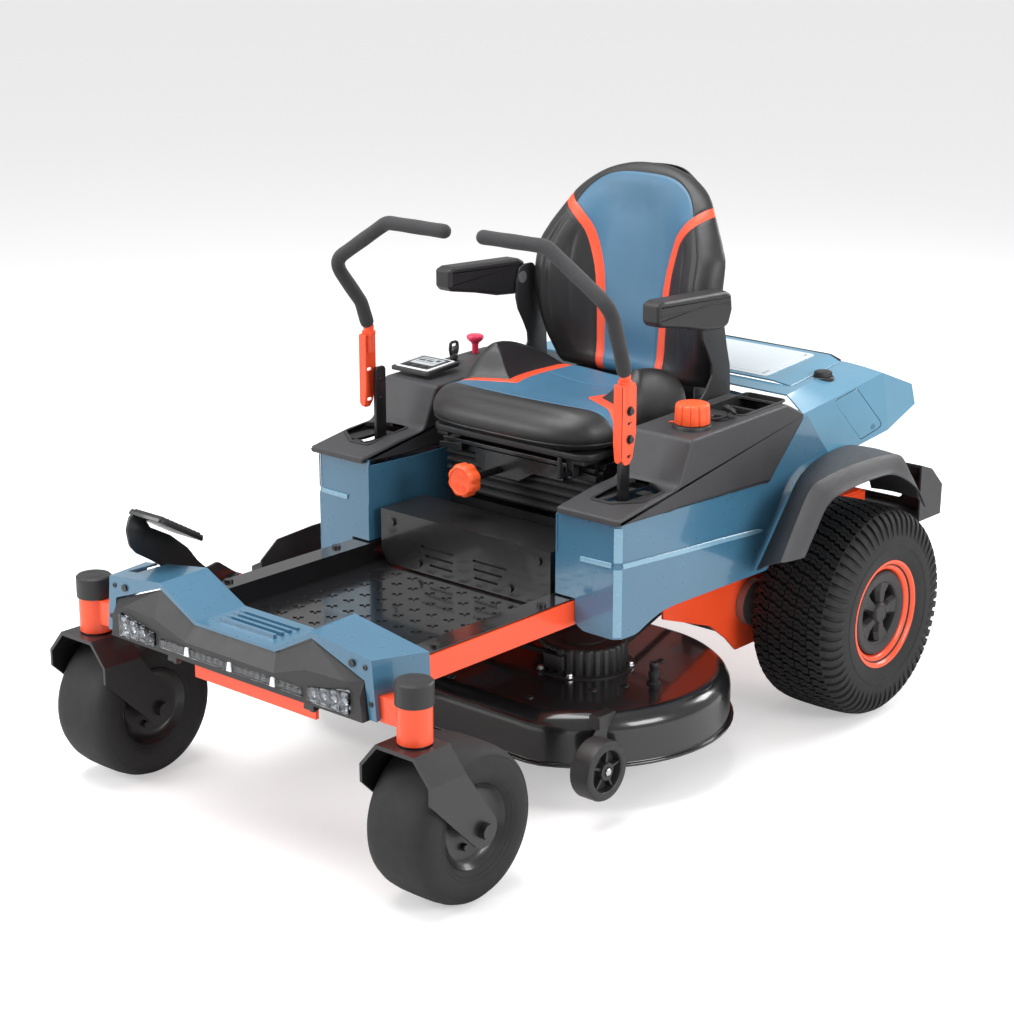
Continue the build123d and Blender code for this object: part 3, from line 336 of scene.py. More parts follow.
def surf(name, col, rough=0.4, metal=0.0, coat=0.0, vary=0.06, rvary=0.08, grain=900.0, bump=0.05, gtype="noise",
         dust=0.0, sheen=0.0, spec=0.5, big=6.0, col2=None):
    """Procedural surface: base colour that drifts a little, uneven gloss, fine grain, a trace of dust from above."""
    m, nt, b = new_mat(name)
    N, L = nt.nodes.new, nt.links.new
    tc = N("ShaderNodeTexCoord")
    n1 = N("ShaderNodeTexNoise")
    n1.inputs["Scale"].default_value = big
    n1.inputs["Detail"].default_value = 6
    n1.inputs["Roughness"].default_value = 0.6
    L(tc.outputs["Object"], n1.inputs["Vector"])
    n2 = N("ShaderNodeTexNoise")
    n2.inputs["Scale"].default_value = 60
    n2.inputs["Detail"].default_value = 5
    L(tc.outputs["Object"], n2.inputs["Vector"])
    cr = N("ShaderNodeValToRGB")
    cr.color_ramp.elements[0].position = 0.3
    cr.color_ramp.elements[1].position = 0.7
    lo = [max(0, c * (1 - vary)) for c in col]
    hi = [min(1, c * (1 + vary)) for c in (col2 or col)]
    cr.color_ramp.elements[0].color = (*lo, 1)
    cr.color_ramp.elements[1].color = (*hi, 1)
    L(n1.outputs["Fac"], cr.inputs["Fac"])
    colour = cr.outputs["Color"]
    if dust:
        geo = N("ShaderNodeNewGeometry")
        sep = N("ShaderNodeSeparateXYZ")
        L(geo.outputs["Normal"], sep.inputs[0])
        mul = N("ShaderNodeMath")
        mul.operation = "MULTIPLY"
        mr = N("ShaderNodeMapRange")
        mr.inputs["From Min"].default_value = 0.2
        mr.inputs["From Max"].default_value = 1.0
        mr.inputs["To Max"].default_value = dust
        L(sep.outputs["Z"], mr.inputs["Value"])
        L(mr.outputs[0], mul.inputs[0])
        L(n2.outputs["Fac"], mul.inputs[1])
        mix = N("ShaderNodeMix")
        mix.data_type = "RGBA"
        mix.inputs["B"].default_value = (0.32, 0.30, 0.27, 1)
        L(mul.outputs[0], mix.inputs["Factor"])
        L(colour, mix.inputs["A"])
        colour = mix.outputs["Result"]
    L(colour, b.inputs["Base Color"])
    rr = N("ShaderNodeMapRange")
    rr.inputs["To Min"].default_value = max(0.02, rough - rvary)
    rr.inputs["To Max"].default_value = min(1, rough + rvary)
    L(n2.outputs["Fac"], rr.inputs["Value"])
    L(rr.outputs[0], b.inputs["Roughness"])
    b.inputs["Metallic"].default_value = metal
    b.inputs["Coat Weight"].default_value = coat
    b.inputs["Coat Roughness"].default_value = 0.06
    b.inputs["Specular IOR Level"].default_value = spec
    if sheen:
        b.inputs["Sheen Weight"].default_value = sheen
    if gtype == "voronoi":
        g = N("ShaderNodeTexVoronoi")
        g.feature = "DISTANCE_TO_EDGE"
        g.inputs["Scale"].default_value = grain
        L(tc.outputs["Object"], g.inputs["Vector"])
        h = g.outputs["Distance"]
    elif gtype == "brushed":
        mp = N("ShaderNodeMapping")
        mp.inputs["Scale"].default_value = (1, 40, 1)
        L(tc.outputs["Object"], mp.inputs["Vector"])
        g = N("ShaderNodeTexNoise")
        g.inputs["Scale"].default_value = grain
        L(mp.outputs[0], g.inputs["Vector"])
        h = g.outputs["Fac"]
    else:
        g = N("ShaderNodeTexNoise")
        g.inputs["Scale"].default_value = grain
        g.inputs["Detail"].default_value = 3
        L(tc.outputs["Object"], g.inputs["Vector"])
        h = g.outputs["Fac"]
    bp = N("ShaderNodeBump")
    bp.inputs["Strength"].default_value = bump
    bp.inputs["Distance"].default_value = 0.001
    L(h, bp.inputs["Height"])
    L(bp.outputs[0], b.inputs["Normal"])
    return m


BLUE = surf("blue_panel", (0.047, 0.150, 0.245), 0.30, coat=0.6, bump=0.03, grain=700, vary=0.05, dust=0.012)
BLUE_L = surf("blue_panel_light", (0.10, 0.27, 0.40), 0.34, coat=0.5, bump=0.03, grain=700, vary=0.05, dust=0.012)
# painted highlight: lighter blue for the crease bands and front corner strips, standing in for the light they catch
CREASE_HIGHLIGHT = surf("blue_crease_painted_highlight", (0.19, 0.36, 0.48), 0.26, coat=0.6, bump=0.02, grain=700, vary=0.05, dust=0.0)
PALE = surf("hood_plate", (0.62, 0.68, 0.72), 0.40, coat=0.2, bump=0.04, grain=600, vary=0.04, dust=0.012)
ORANGE = surf("orange_paint", (0.96, 0.085, 0.020), 0.38, coat=0.25, bump=0.06, grain=420, vary=0.06, dust=0.012)
BLACK_G = surf("black_gloss_paint", (0.0085, 0.0085, 0.0095), 0.22, coat=0.5, bump=0.07, grain=320, vary=0.2, dust=0.012)
BLACK_S = surf("black_satin_steel", (0.0095, 0.0095, 0.0105), 0.36, coat=0.2, bump=0.08, grain=420, vary=0.2, dust=0.012)
BLACK_P = surf("black_plastic_grain", (0.017, 0.017, 0.018), 0.46, bump=0.22, grain=1100, gtype="voronoi", vary=0.15, dust=0.012)
CHAR = surf("charcoal_plastic_grain", (0.036, 0.036, 0.039), 0.50, bump=0.25, grain=1000, gtype="voronoi", vary=0.1, dust=0.012)
TYRE = surf("tyre_rubber", (0.016, 0.016, 0.017), 0.66, bump=0.25, grain=500, vary=0.22, dust=0.012, spec=0.35)
RUBBER = surf("soft_rubber", (0.018, 0.018, 0.018), 0.72, bump=0.25, grain=700, vary=0.2, dust=0.012)
FOAM = surf("foam_grip", (0.030, 0.030, 0.032), 0.88, bump=0.6, grain=900, gtype="voronoi", vary=0.2, dust=0.02, sheen=0.1)
STEEL = surf("bright_steel", (0.58, 0.58, 0.59), 0.32, metal=1.0, bump=0.08, grain=300, gtype="brushed", vary=0.08)
CAST = surf("cast_aluminium", (0.33, 0.33, 0.34), 0.48, metal=0.8, bump=0.35, grain=420, vary=0.1)
VINYL = surf("seat_vinyl_black", (0.0125, 0.0125, 0.0135), 0.40, bump=0.34, grain=620, gtype="voronoi", vary=0.18, dust=0.0, sheen=0.02)
VINYL_B = surf("seat_vinyl_blue", (0.050, 0.155, 0.265), 0.50, bump=0.45, grain=560, gtype="voronoi", vary=0.10, dust=0.012, sheen=0.05)
VINYL_O = surf("seat_vinyl_orange", (0.86, 0.085, 0.030), 0.48, bump=0.40, grain=560, gtype="voronoi", vary=0.08, dust=0.012, sheen=0.05)
RED = surf("red_knob", (0.70, 0.025, 0.085), 0.30, coat=0.4, bump=0.04, grain=500, vary=0.06)
DIAL_O = surf("orange_dial", (1.0, 0.115, 0.030), 0.42, bump=0.10, grain=900, vary=0.05)
WHITE = surf("white_trim", (0.74, 0.76, 0.78), 0.38, bump=0.05, grain=800, vary=0.04)
LCD = surf("grey_screen", (0.42, 0.45, 0.47), 0.22, coat=0.5, bump=0.02, grain=800, vary=0.03)
# painted shade: near-black fill for sheets set behind slots and gaps, standing in for the shade inside
SHADE_SHEET = surf("painted_shade_sheet", (0.006, 0.006, 0.0065), 0.7, bump=0.2, grain=500, vary=0.2)
MIRROR = surf("lamp_reflector", (0.30, 0.31, 0.33), 0.22, metal=1.0, bump=0.05, grain=200, vary=0.05)
LED = surf("led_face", (0.85, 0.87, 0.90), 0.25, coat=0.6, bump=0.03, grain=700, vary=0.03)


def glass_mat():
    m, nt, b = new_mat("lamp_lens")
    b.inputs["Base Color"].default_value = (0.92, 0.94, 0.96, 1)
    b.inputs["Roughness"].default_value = 0.05
    b.inputs["Transmission Weight"].default_value = 1.0
    b.inputs["IOR"].default_value = 1.35
    tc = nt.nodes.new("ShaderNodeTexCoord")
    n = nt.nodes.new("ShaderNodeTexNoise")
    n.inputs["Scale"].default_value = 60
    nt.links.new(tc.outputs["Object"], n.inputs["Vector"])
    bp = nt.nodes.new("ShaderNodeBump")
    bp.inputs["Strength"].default_value = 0.08
    bp.inputs["Distance"].default_value = 0.001
    nt.links.new(n.outputs["Fac"], bp.inputs["Height"])
    nt.links.new(bp.outputs[0], b.inputs["Normal"])
    return m


GLASS = glass_mat()


# ------------------------------------------------------------------ rear wheels
def crown(x):
    """Carcass radius at offset x from the rear wheel's centre plane, mm."""
    P = [(0, 220.4), (40, 219.8), (65, 218.0), (82, 214.0), (92, 208.0), (99, 198.0), (103, 186.0), (105.2, 168.0), (105.0, 150.0), (102.5, 132.0), (98.0, 118.0), (92.0, 108.5)]
    x = abs(x)
    for (a, ra), (b, rb) in zip(P, P[1:]):
        if x <= b and b >= a:
            return ra + (rb - ra) * (x - a) / (b - a)
    return P[-1][1]


SHO = [(78, 215.2), (88, 211.0), (95, 204.5), (99.5, 197.0), (102, 190.0), (104, 181.0), (105.2, 172.0)]


def rear_wheel():
    cx = 451.0
    half = [(92.0, 106.0), (98.0, 117.0), (102.5, 132.0), (105.0, 150.0), (105.4, 166.0), (104.0, 180.0), (101.4, 191.5), (97.4, 200.6), (91.0, 208.6),
            (82.0, 213.8), (65, 217.6), (40, 219.6), (0, 220.4)]
    prof = [(r, x) for x, r in half] + [(r, -x) for x, r in half[-2::-1]]
    prof = [(101.0, 86.0)] + prof + [(101.0, -86.0)]
    prof += [(96, -80), (96, 80), (101.0, 86.0)]
    body = revolve("rear_carcass", prof, (cx, 0, 228.6), "x", 120)
    v, f = [], []

    def put(u, x, r):
        t = u / 228.0
        v.append(M(cx + x, -r * sin(t), 228.6 + r * cos(t)))
        return len(v) - 1

    rows = 60
    pitch = 2 * pi * 228.0 / rows
    Z = [(-15.2, -14), (-4, -14), (2.5, -6.5), (15.2, -6.5), (15.2, 11), (4, 11), (-2.5, 3.5), (-15.2, 3.5)]
    for c in range(5):
        x0 = (c - 2) * 32.6
        for k in range(rows):
            u0 = k * pitch + (c % 2) * pitch * 0.42
            # each block is split by a thin curved sipe into two halves
            for part in (0, 1):
                pts = []
                if part == 0:
                    pts = [(-15.2, -14), (-4, -14), (2.5, -6.5), (15.2, -6.5), (15.2, 1.2), (3.2, 1.2), (-3.2, -5.8), (-15.2, -5.8)]
                else:
                    pts = [(-15.2, -4.4), (-3.8, -4.4), (2.6, 2.6), (15.2, 2.6), (15.2, 11), (4, 11), (-2.5, 3.5), (-15.2, 3.5)]
                top, bot = [], []
                for (px, pu) in pts:
                    x = x0 + px
                    top.append(put(u0 + pu * 0.97, x0 + px * 0.97, crown(x) + 8.1))
                for (px, pu) in pts:
                    x = x0 + px
                    bot.append(put(u0 + pu, x, crown(x) - 2.0))
                n = len(pts)
                f.append(top)
                for i in range(n):
                    f.append([top[i], bot[i], bot[(i + 1) % n], top[(i + 1) % n]])
                f.append(bot[::-1])
    # shoulder lugs that run over the edge and fade out on the sidewall
    for s in (-1, 1):
        for k in range(rows):
            u0 = k * pitch + (0.42 * pitch if s > 0 else 0)
            ring = []
            K = len(SHO)
            for i, (x, r) in enumerate(SHO):
                a = i / (K - 1)
                if i == 0:
                    nx, nr = 0.25, 1.0
                else:
                    dx, dr = SHO[min(i + 1, K - 1)][0] - SHO[i - 1][0], SHO[min(i + 1, K - 1)][1] - SHO[i - 1][1]
                    l = sqrt(dx * dx + dr * dr)
                    nx, nr = -dr / l, dx / l
                h = 7.6 * (1 - a) ** 0.7 + 0.0
                if h < 0.4:
                    h = 0.4
                w = 8.6 * (1 - 0.35 * a)
                skew = 5.5 * sin(a * pi * 0.9)
                q = []
                for (du, hh) in ((-w, -1.5), (-w * 0.86, h), (w * 0.86, h), (w, -1.5)):
                    q.append(put(u0 + du + skew, s * (x + nx * hh), r + nr * hh))
                ring.append(q)
            for i in range(K - 1):
                for j in range(4):
                    a, b = ring[i], ring[i + 1]
                    f.append([a[j], a[(j + 1) % 4], b[(j + 1) % 4], b[j]])
            f.append(ring[0][::-1])
            f.append(ring[-1])
    tread = obj_from("tread", v, f, 30)
    # two fine moulding rings on the sidewall
    rings = []
    for s in (-1, 1):
        for r, x in ((150.0, 105.0), (118.5, 98.4)):
            rings.append(revolve("ring", [(r - 1.6, s * (x - 0.8)), (r - 0.6, s * (x + 0.7)), (r + 0.6, s * (x + 0.7)), (r + 1.6, s * (x - 0.8)), (r - 1.6, s * (x - 0.8))], (cx, 0, 228.6), "x", 96))
    tyre = join("left_turf_tyre", [body, tread] + rings)
    # rim
    rim = revolve("left_wheel_rim", [(30, -60), (90, -62), (96, -70), (100, -84), (108, -90), (117, -95), (120, -92), (120, -88), (113, -84), (103, -80), (96, -66), (96, 66), (100, 78), (108, 88), (116, 90.5), (119.6, 92),
                                     (120.4, 95.5), (118.6, 98.6), (115, 99.8), (111.5, 98.6), (109.0, 94.5), (106.2, 91.0), (101.5, 88.8), (97.5, 86.8), (94.6, 82.0), (93.4, 74), (93.4, 46), (60, 44), (30, 44), (30, -60)],
                  (cx, 0, 228.6), "x", 96)
    # hub inside, with studs
    hub = revolve("hub", [(0, -150), (15, -150), (15, -62), (46, -60), (46, -40), (30, -38), (30, 44), (0, 44)], (cx, 0, 228.6), "x", 48)
    studs = []
    for k in range(5):
        a = 2 * pi * k / 5
        studs.append(revolve("stud", [(0, -74), (7, -74), (8.5, -72), (8.5, -60), (0, -60)], (cx, 34 * sin(a), 228.6 + 34 * cos(a)), "x", 6, smooth=20))
    hub = join("left_wheel_hub", [hub] + studs)
    # cover: outer ring, pocket floor, five faceted spokes and a plain centre boss
    parts = [revolve("c1", [(92.6, 60), (93.2, 80), (91.4, 85), (87, 87), (70, 85.2), (66.5, 83.4), (64.5, 79), (64.5, 58), (92.6, 58), (92.6, 60)], (cx, 0, 228.6), "x", 80)]
    parts.append(revolve("c2", [(0, 50), (66, 52), (66, 46), (0, 46)], (cx, 0, 228.6), "x", 60))
    for k in range(5):
        a0 = 2 * pi * k / 5 + 0.30
        secs = []
        for r, wa, xt, xr in ((67.5, 0.37, 83.0, 76.0), (46, 0.37, 80.5, 70.0), (22, 0.46, 84.0, 74.0)):
            pts = []
            for (g, x) in ((-1, 50), (-1, xr), (-0.62, xt), (0.62, xt), (1, xr), (1, 50)):
                t = a0 + g * wa
                pts.append(M(cx + x, r * sin(t), 228.6 + r * cos(t)))
            secs.append(pts)
        parts.append(loft("c3", secs, smooth=20))
    parts.append(revolve("c4", [(24, 50), (24, 80), (22, 86), (19, 89.2), (16.5, 89.8), (15.5, 88.6), (0, 88.6)], (cx, 0, 228.6), "x", 60))
    cover = join("left_cover", parts)
    return tyre, rim, hub, cover


t, rim, hub, cover = rear_wheel()
for o, m, node, sl in ((t, TYRE, "rear_tyre", "tyre"), (rim, ORANGE, "rear_rim", "frame_paint"), (cover, BLACK_P, "wheel_cover", "black_plastic")):
    r = mirror_x(o, o.name.replace("left", "right"))
    for side, q in (("left", o), ("right", r)):
        dress(q, m, side + "_rear_wheel", (side + "_" + node,))
hr = mirror_x(hub, "right_wheel_hub")
dress(hub, STEEL, "left_rear_wheel", ())
dress(hr, STEEL, "right_rear_wheel", ())
for q in (bpy.data.objects["left_cover"], bpy.data.objects["right_cover"]):
    m = q.modifiers.new("edge", "BEVEL")
    m.width, m.segments, m.limit_method, m.angle_limit = 0.0009, 2, "ANGLE", radians(28)


# ------------------------------------------------------------------ caster wheels and forks
def caster(s, side):
    cx = s * 433.4
    half = [(62.0, 79.0), (69.0, 86.0), (74.0, 97.0), (76.2, 110.0), (75.6, 122.0), (71.5, 133.0), (64.0, 140.6), (52.0, 145.2), (34.0, 147.4), (0, 148.0)]
    prof = [(74, 58)] + [(r, x) for x, r in half] + [(r, -x) for x, r in half[-2::-1]] + [(74, -58), (72, -56), (72, 56), (74, 58)]
    t = revolve("c", prof, (cx, -1243, 148), "x", 110)
    rings = []
    for q in (-1, 1):
        for r, x in ((97.5, 73.6), (90, 70.4), (132, 71.6)):
            rings.append(revolve("ring", [(r - 1.4, q * (x - 1.2)), (r - 0.5, q * (x + 0.8)), (r + 0.5, q * (x + 0.8)), (r + 1.4, q * (x - 1.2)), (r - 1.4, q * (x - 1.2))], (cx, -1243, 148), "x", 90))
    t = join(side + "_caster_tyre_skin", [t] + rings)
    dress(t, TYRE, side + "_caster_wheel", (side + "_caster_tyre",))
    parts = []
    parts.append(revolve("r", [(22, -50), (58, -48), (68, -52), (73, -58), (78.5, -64), (80.5, -62), (80.5, -58), (73, -52), (71.5, -40), (71.5, 40), (73, 52), (80.5, 58), (80.5, 62), (78.5, 64), (73, 58), (68, 52), (58, 48), (22, 50), (22, -50)],
                         (cx, -1243, 148), "x", 72))
    parts.append(revolve("r", [(9.8, -66), (20, -66), (22, -60), (22, 60), (20, 66), (9.8, 66), (9.8, -66)], (cx, -1243, 148), "x", 40))
    for q in (-1, 1):
        for k in range(4):
            a = 2 * pi * k / 4 + 0.4
            parts.append(revolve("b", [(0, q * 57), (6, q * 57), (7, q * 55), (7, q * 47), (0, q * 47)], (cx, -1243 + 40 * sin(a), 148 + 40 * cos(a)), "x", 6, smooth=20))
    rm = join(side + "_caster_hub", parts)
    dress(rm, BLACK_S, side + "_caster_wheel", (side + "_caster_rim",))


caster(1, "left")
caster(-1, "right")


# ------------------------------------------------------------------ CAD nodes that stay: finish and eased edges
def cad(node, mat, bevel=1.2, seg=2, angle=28, dissolve=True):
    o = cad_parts[node]
    for i in range(max(1, len(o.material_slots))):
        if i < len(o.material_slots):
            o.material_slots[i].link = "OBJECT"
            o.material_slots[i].material = mat
    if not len(o.material_slots):
        o.data.materials.append(None)
        o.material_slots[0].link = "OBJECT"
        o.material_slots[0].material = mat
    if dissolve:
        m = o.modifiers.new("flat", "DECIMATE")
        m.decimate_type = "DISSOLVE"
        m.angle_limit = radians(0.8)
    if bevel:
        m = o.modifiers.new("edge", "BEVEL")
        m.width = bevel / 1000.0
        m.segments = seg
        m.limit_method = "ANGLE"
        m.angle_limit = radians(angle)
        m.use_clamp_overlap = True
        w = o.modifiers.new("wn", "WEIGHTED_NORMAL")
        w.weight = 60
    return o


for n, m, b in (("main_frame", ORANGE, 2.0), ("caster_caps", BLACK_P, 2.0), ("left_caster_fork", BLACK_S, 1.4), ("right_caster_fork", BLACK_S, 1.4),
                ("transaxles", CAST, 4.0), ("floor_pan", BLACK_G, 0.8), ("toe_box", BLACK_S, 1.2), ("bumper_cover", BLUE, 1.0), ("rear_bumper", CHAR, 3.5),
                ("engine", CAST, 2.5), ("engine_pulley", STEEL, 1.0), ("suspension_base", BLACK_S, 1.0), ("suspension_top", BLACK_S, 1.5), ("frame_bolts", BLACK_S, 1.0),
                ("seat_adjust_lever", BLACK_S, 0.0),
                ("left_lever_yoke", BLACK_S, 1.5), ("right_lever_yoke", BLACK_S, 1.5), ("discharge_chute", BLACK_P, 1.2),
                ("left_cutting_spindle", STEEL, 0.8), ("right_cutting_spindle", STEEL, 0.8), ("deck_belt", RUBBER, 1.0)):
    cad(n, m, b)


def offset_poly(pts, d):
    """Moves every edge of a closed polygon inwards by d."""
    n = len(pts)
    s = 1 if area2(pts) > 0 else -1
    out = []
    for i in range(n):
        p0, p1, p2 = Vector(pts[i - 1]), Vector(pts[i]), Vector(pts[(i + 1) % n])
        a, b = (p1 - p0), (p2 - p1)
        if a.length < 1e-9 or b.length < 1e-9:
            out.append(tuple(p1))
            continue
        a.normalize()
        b.normalize()
        na, nb = Vector((-a.y, a.x)) * s, Vector((-b.y, b.x)) * s
        h = na + nb
        if h.length < 1e-6:
            h = na.copy()
        h.normalize()
        k = d / max(0.35, h.dot(na))
        q = p1 + h * k
        out.append((q.x, q.y))
    return out


def puffy(name, pts, plane, a, b, r, n=4):
    """Prism whose two end faces are rounded over with radius r."""
    sgn = 1 if b > a else -1
    secs = []
    sched = [(r * (1 - cos(t)), r * (1 - sin(t))) for t in [pi / 2 * k / n for k in range(n + 1)]]   # (along, inset)
    for al, ins in sched:
        secs.append((a + sgn * al, ins))
    for al, ins in sched[::-1]:
        secs.append((b - sgn * al, ins))
    loops = []
    for w, ins in secs:
        q = offset_poly(pts, ins) if ins > 1e-6 else pts
        if plane == "yz":
            loops.append([M(w, p[0], p[1]) for p in q])
        elif plane == "xz":
            loops.append([M(p[0], w, p[1]) for p in q])
        else:
            loops.append([M(p[0], p[1], w) for p in q])
    return loft(name, loops)


def ss(a, b, x):
    t = max(0.0, min(1.0, (x - a) / (b - a)))
    return t * t * (3 - 2 * t)


def interp(P, t):
    if t <= P[0][0]:
        return P[0][1]
    for (a, va), (b, vb) in zip(P, P[1:]):
        if t <= b:
            return va + (vb - va) * (t - a) / (b - a) if b > a else vb
    return P[-1][1]


def catmull(P, n):
    """n samples along a smooth curve through the points."""
    P = [Vector(p) for p in P]
    out = []
    segs = len(P) - 1
    for k in range(n):
        t = segs * k / (n - 1)
        i = min(int(t), segs - 1)
        u = t - i
        p1, p2 = P[i], P[i + 1]
        p0 = P[i - 1] if i > 0 else p1 * 2 - p2
        p3 = P[i + 2] if i + 2 < len(P) else p2 * 2 - p1
        out.append(0.5 * ((2 * p1) + (p2 - p0) * u + (2 * p0 - 5 * p1 + 4 * p2 - p3) * u * u + (3 * p1 - p0 - 3 * p2 + p3) * u ** 3))
    return out


# ------------------------------------------------------------------ side panels
def side_panel():
    bot = [(-743, 337), (-731, 337), (-690, 336), (-675, 339), (-660, 345), (-630, 355), (-600, 362), (-560, 364), (-250, 359), (-240, 366), (-232, 377), (-179, 453), (-126, 515), (-88, 544), (-20, 549)]
    top = [(-743, 574), (-585, 559), (-561, 560), (-253, 547), (-131, 665.5), (-119, 663), (-64, 598), (-20, 550.5)]
    cols = []

    def col(x, d, nx, nd, zb, zl, zh, zt, fl):
        o = 3.2 * fl
        c = []
        for z, off in ((zb, 0), (zl, 0), (zh, o), (zt, o), (zt, o + 3.4), (zb, 3.4 + 3.0)):
            c.append(M(x - nx * off, d - nd * off, z))
        return c
    for x, zb in ((255.5, 400), (305, 400), (306, 352), (313, 345), (326, 338), (345, 337), (370, 337), (398, 337)):
        cols.append(col(x, -743, 0, -1, zb, max(zb + 1, 478), max(zb + 2, 487), 573, 1))
    cols.append(col(400.5, -742.6, 0.15, -0.98, 337, 479, 488, 573, 1))
    cols.append(col(411.2, -732, 0.98, -0.15, 337, 480, 489.5, 573, 1))
    ds = [-729, -710, -690, -675, -660, -630, -600, -585, -561, -500, -400, -300, -270, -254, -245, -232, -205, -179, -150, -131.5, -119, -100, -88, -64, -40, -21]
    for d in ds:
        zb, zt = interp(bot, d), interp(top, d)
        f = 1.0 if d < -262 else max(0.0, 1 - (d + 262) / 12.0)
        zl = 480 - (d + 743) * 0.09
        zl = min(max(zl, zb + 0.3), zt - 1)
        zh = min(max(zl + 9.5, zb + 0.5), zt - 0.5)
        cols.append(col(412, d, 1, 0, zb, zl, zh, zt, max(f, 0.02)))
    o = loft("left_side_panel", cols)
    return o


p = side_panel()
inner = prism("pi", [(-742, 562), (-742, 400), (-430, 400), (-430, 556), (-561, 556), (-585, 556)], "yz", 255, 258)
p = join("left_side_panel", [p, inner])
q = mirror_x(p, "right_side_panel")
dress(p, BLUE, "chassis", ("side_panels",), bevel=1.6, seg=3)
dress(q, BLUE, "chassis", (), bevel=1.6, seg=3)

def crease(s):
    """Raised bands along the flank, across the front and down the front corner; their lighter blue is a painted
    highlight.
    """
    def zc(d):
        return interp([(-743, 484), (-560, 470), (-420, 461), (-300, 452), (-262, 449)], d)
    bits = []
    rows = []
    n = 26
    for k in range(n + 1):
        d = -729 + (729 - 268) * k / n
        w = 4.4 * (1 - 0.75 * ss(-278, -268, d))
        z = zc(d)
        rows.append([M(s * (412.0 + o), d, z + q) for o, q in ((-2.0, -w - 1.2), (0.7, -w), (1.1, 0), (0.7, w), (-2.0, w + 1.2))])
    bits.append(loft("b1", rows))
    rows = []
    for k in range(9):
        x = 318 + (394 - 318) * k / 8
        z = 484.5 - 0.02 * (394 - x)
        rows.append([M(s * x, -743.0 - o, z + q) for o, q in ((-2.0, -5.6), (0.7, -4.4), (1.1, 0), (0.7, 4.4), (-2.0, 5.6))])
    bits.append(loft("b2", rows))
    for z0, z1 in ((341, 477.5), (491.5, 560)):
        rows = []
        for k in range(15):
            z = z0 + (z1 - z0) * k / 14
            rows.append([M(s * x, d, z) for x, d in ((399.5, -741.0), (400.6, -743.6), (406.8, -738.2), (412.6, -731.4), (410.0, -730.6))])
        bits.append(loft("b3", rows))
    return join("crease", bits)


for s_, side_ in ((1, "left"), (-1, "right")):
    cz = crease(s_)
    cz.name = side_ + "_panel_crease"
    # the lighter blue on these bands is a painted highlight
    dress(cz, CREASE_HIGHLIGHT, "chassis", ())

# ------------------------------------------------------------------ consoles
CON = [(-751, 567), (-751, 580), (-642, 598), (-567, 604), (-526, 693), (-200, 704), (-134, 672), (-254, 550), (-561, 563), (-585, 562)]


def console(s, side):
    prof = round_poly(CON, [1, 5, 30, 26, 16, 30, 10, 3, 12, 3], 5)
    o = puffy("con", prof, "yz", s * 262, s * 418, 7.0, 5)
    cav = prism("cav", [(-746, 540), (-746, 575.5), (-641, 593.5), (-563.5, 599.5), (-522.5, 688.5), (-201, 699.5), (-142, 671), (-110, 560), (-300, 520)], "yz", s * 266, s * 414)
    slot = prism("slot", round_poly([(s * 306, -692), (s * 352, -692), (s * 402, -660), (s * 402, -598), (s * 352, -572), (s * 306, -572)], 9, 4), "xy", 560, 640)
    boolean(o, [cav, slot])
    if s > 0:
        lid = prism("bin", round_poly([(297, -328), (395, -328), (395, -206), (297, -206)], 14, 5), "xy", 680, 740)
        boolean(o, lid)
    o.name = side + "_console_shell"
    dress(o, CHAR, "chassis", (side + "_console",), bevel=1.4, seg=2, angle=35)
    # raised rim round the lever opening
    ring_o = round_poly([(s * 300, -698), (s * 354, -698), (s * 408, -663), (s * 408, -594), (s * 354, -566), (s * 300, -566)], 12, 5)
    ring_i = round_poly([(s * 306, -692), (s * 352, -692), (s * 402, -660), (s * 402, -598), (s * 352, -572), (s * 306, -572)], 9, 5)

    def zt(d):
        return interp([(-751, 580), (-642, 598), (-567, 604)], d)
    loops = []
    for pts, dz in ((ring_o, 0.0), (ring_o, 2.0), (ring_i, 2.6), (ring_i, -5.0)):
        loops.append([M(x, d, zt(d) + dz) for x, d in pts])
    g = loft(side + "_slot_rim", loops, caps=False)
    dress(g, BLACK_P, "chassis", ())
    # rubber gaiter lips round the opening, leaving the lever room to drive and swing out
    lips = []
    for (xa, xb, da, db) in ((308, 322, -688, -576), (340, 361, -688, -671), (340, 361, -604, -576), (363, 400, -672, -582)):
        lips.append(prism("lip", [(s * xa, da), (s * xb, da), (s * xb, db), (s * xa, db)], "xy", 586, 588.5))
    g = join(side + "_slot_lips", lips)
    dress(g, RUBBER, "chassis", ())


console(1, "left")
console(-1, "right")

# bin liner with its divider, left console
parts = []
outer = round_poly([(294, -331), (398, -331), (398, -173), (294, -173)], 16, 5)
innr = round_poly([(299, -326), (393, -326), (393, -178), (299, -178)], 12, 5)
loops = []
for pts, dz in ((outer, -2), (outer, 1.6), (innr, 2.2), (innr, -74), ):
    loops.append([M(x, d, (702.6 + (d + 252) * 0.034 if dz > -20 else 702) + dz) for x, d in pts])
parts.append(loft("bin", loops, caps=False))
parts.append(prism("binf", innr, "xy", 626, 629))
parts.append(puffy("div", [(299, 626), (393, 626), (393, 694), (299, 694)], "xz", -252, -246, 2.5, 3))
b = join("storage_bin", parts)
dress(b, BLACK_P, "chassis", (), bevel=1.0, seg=2)

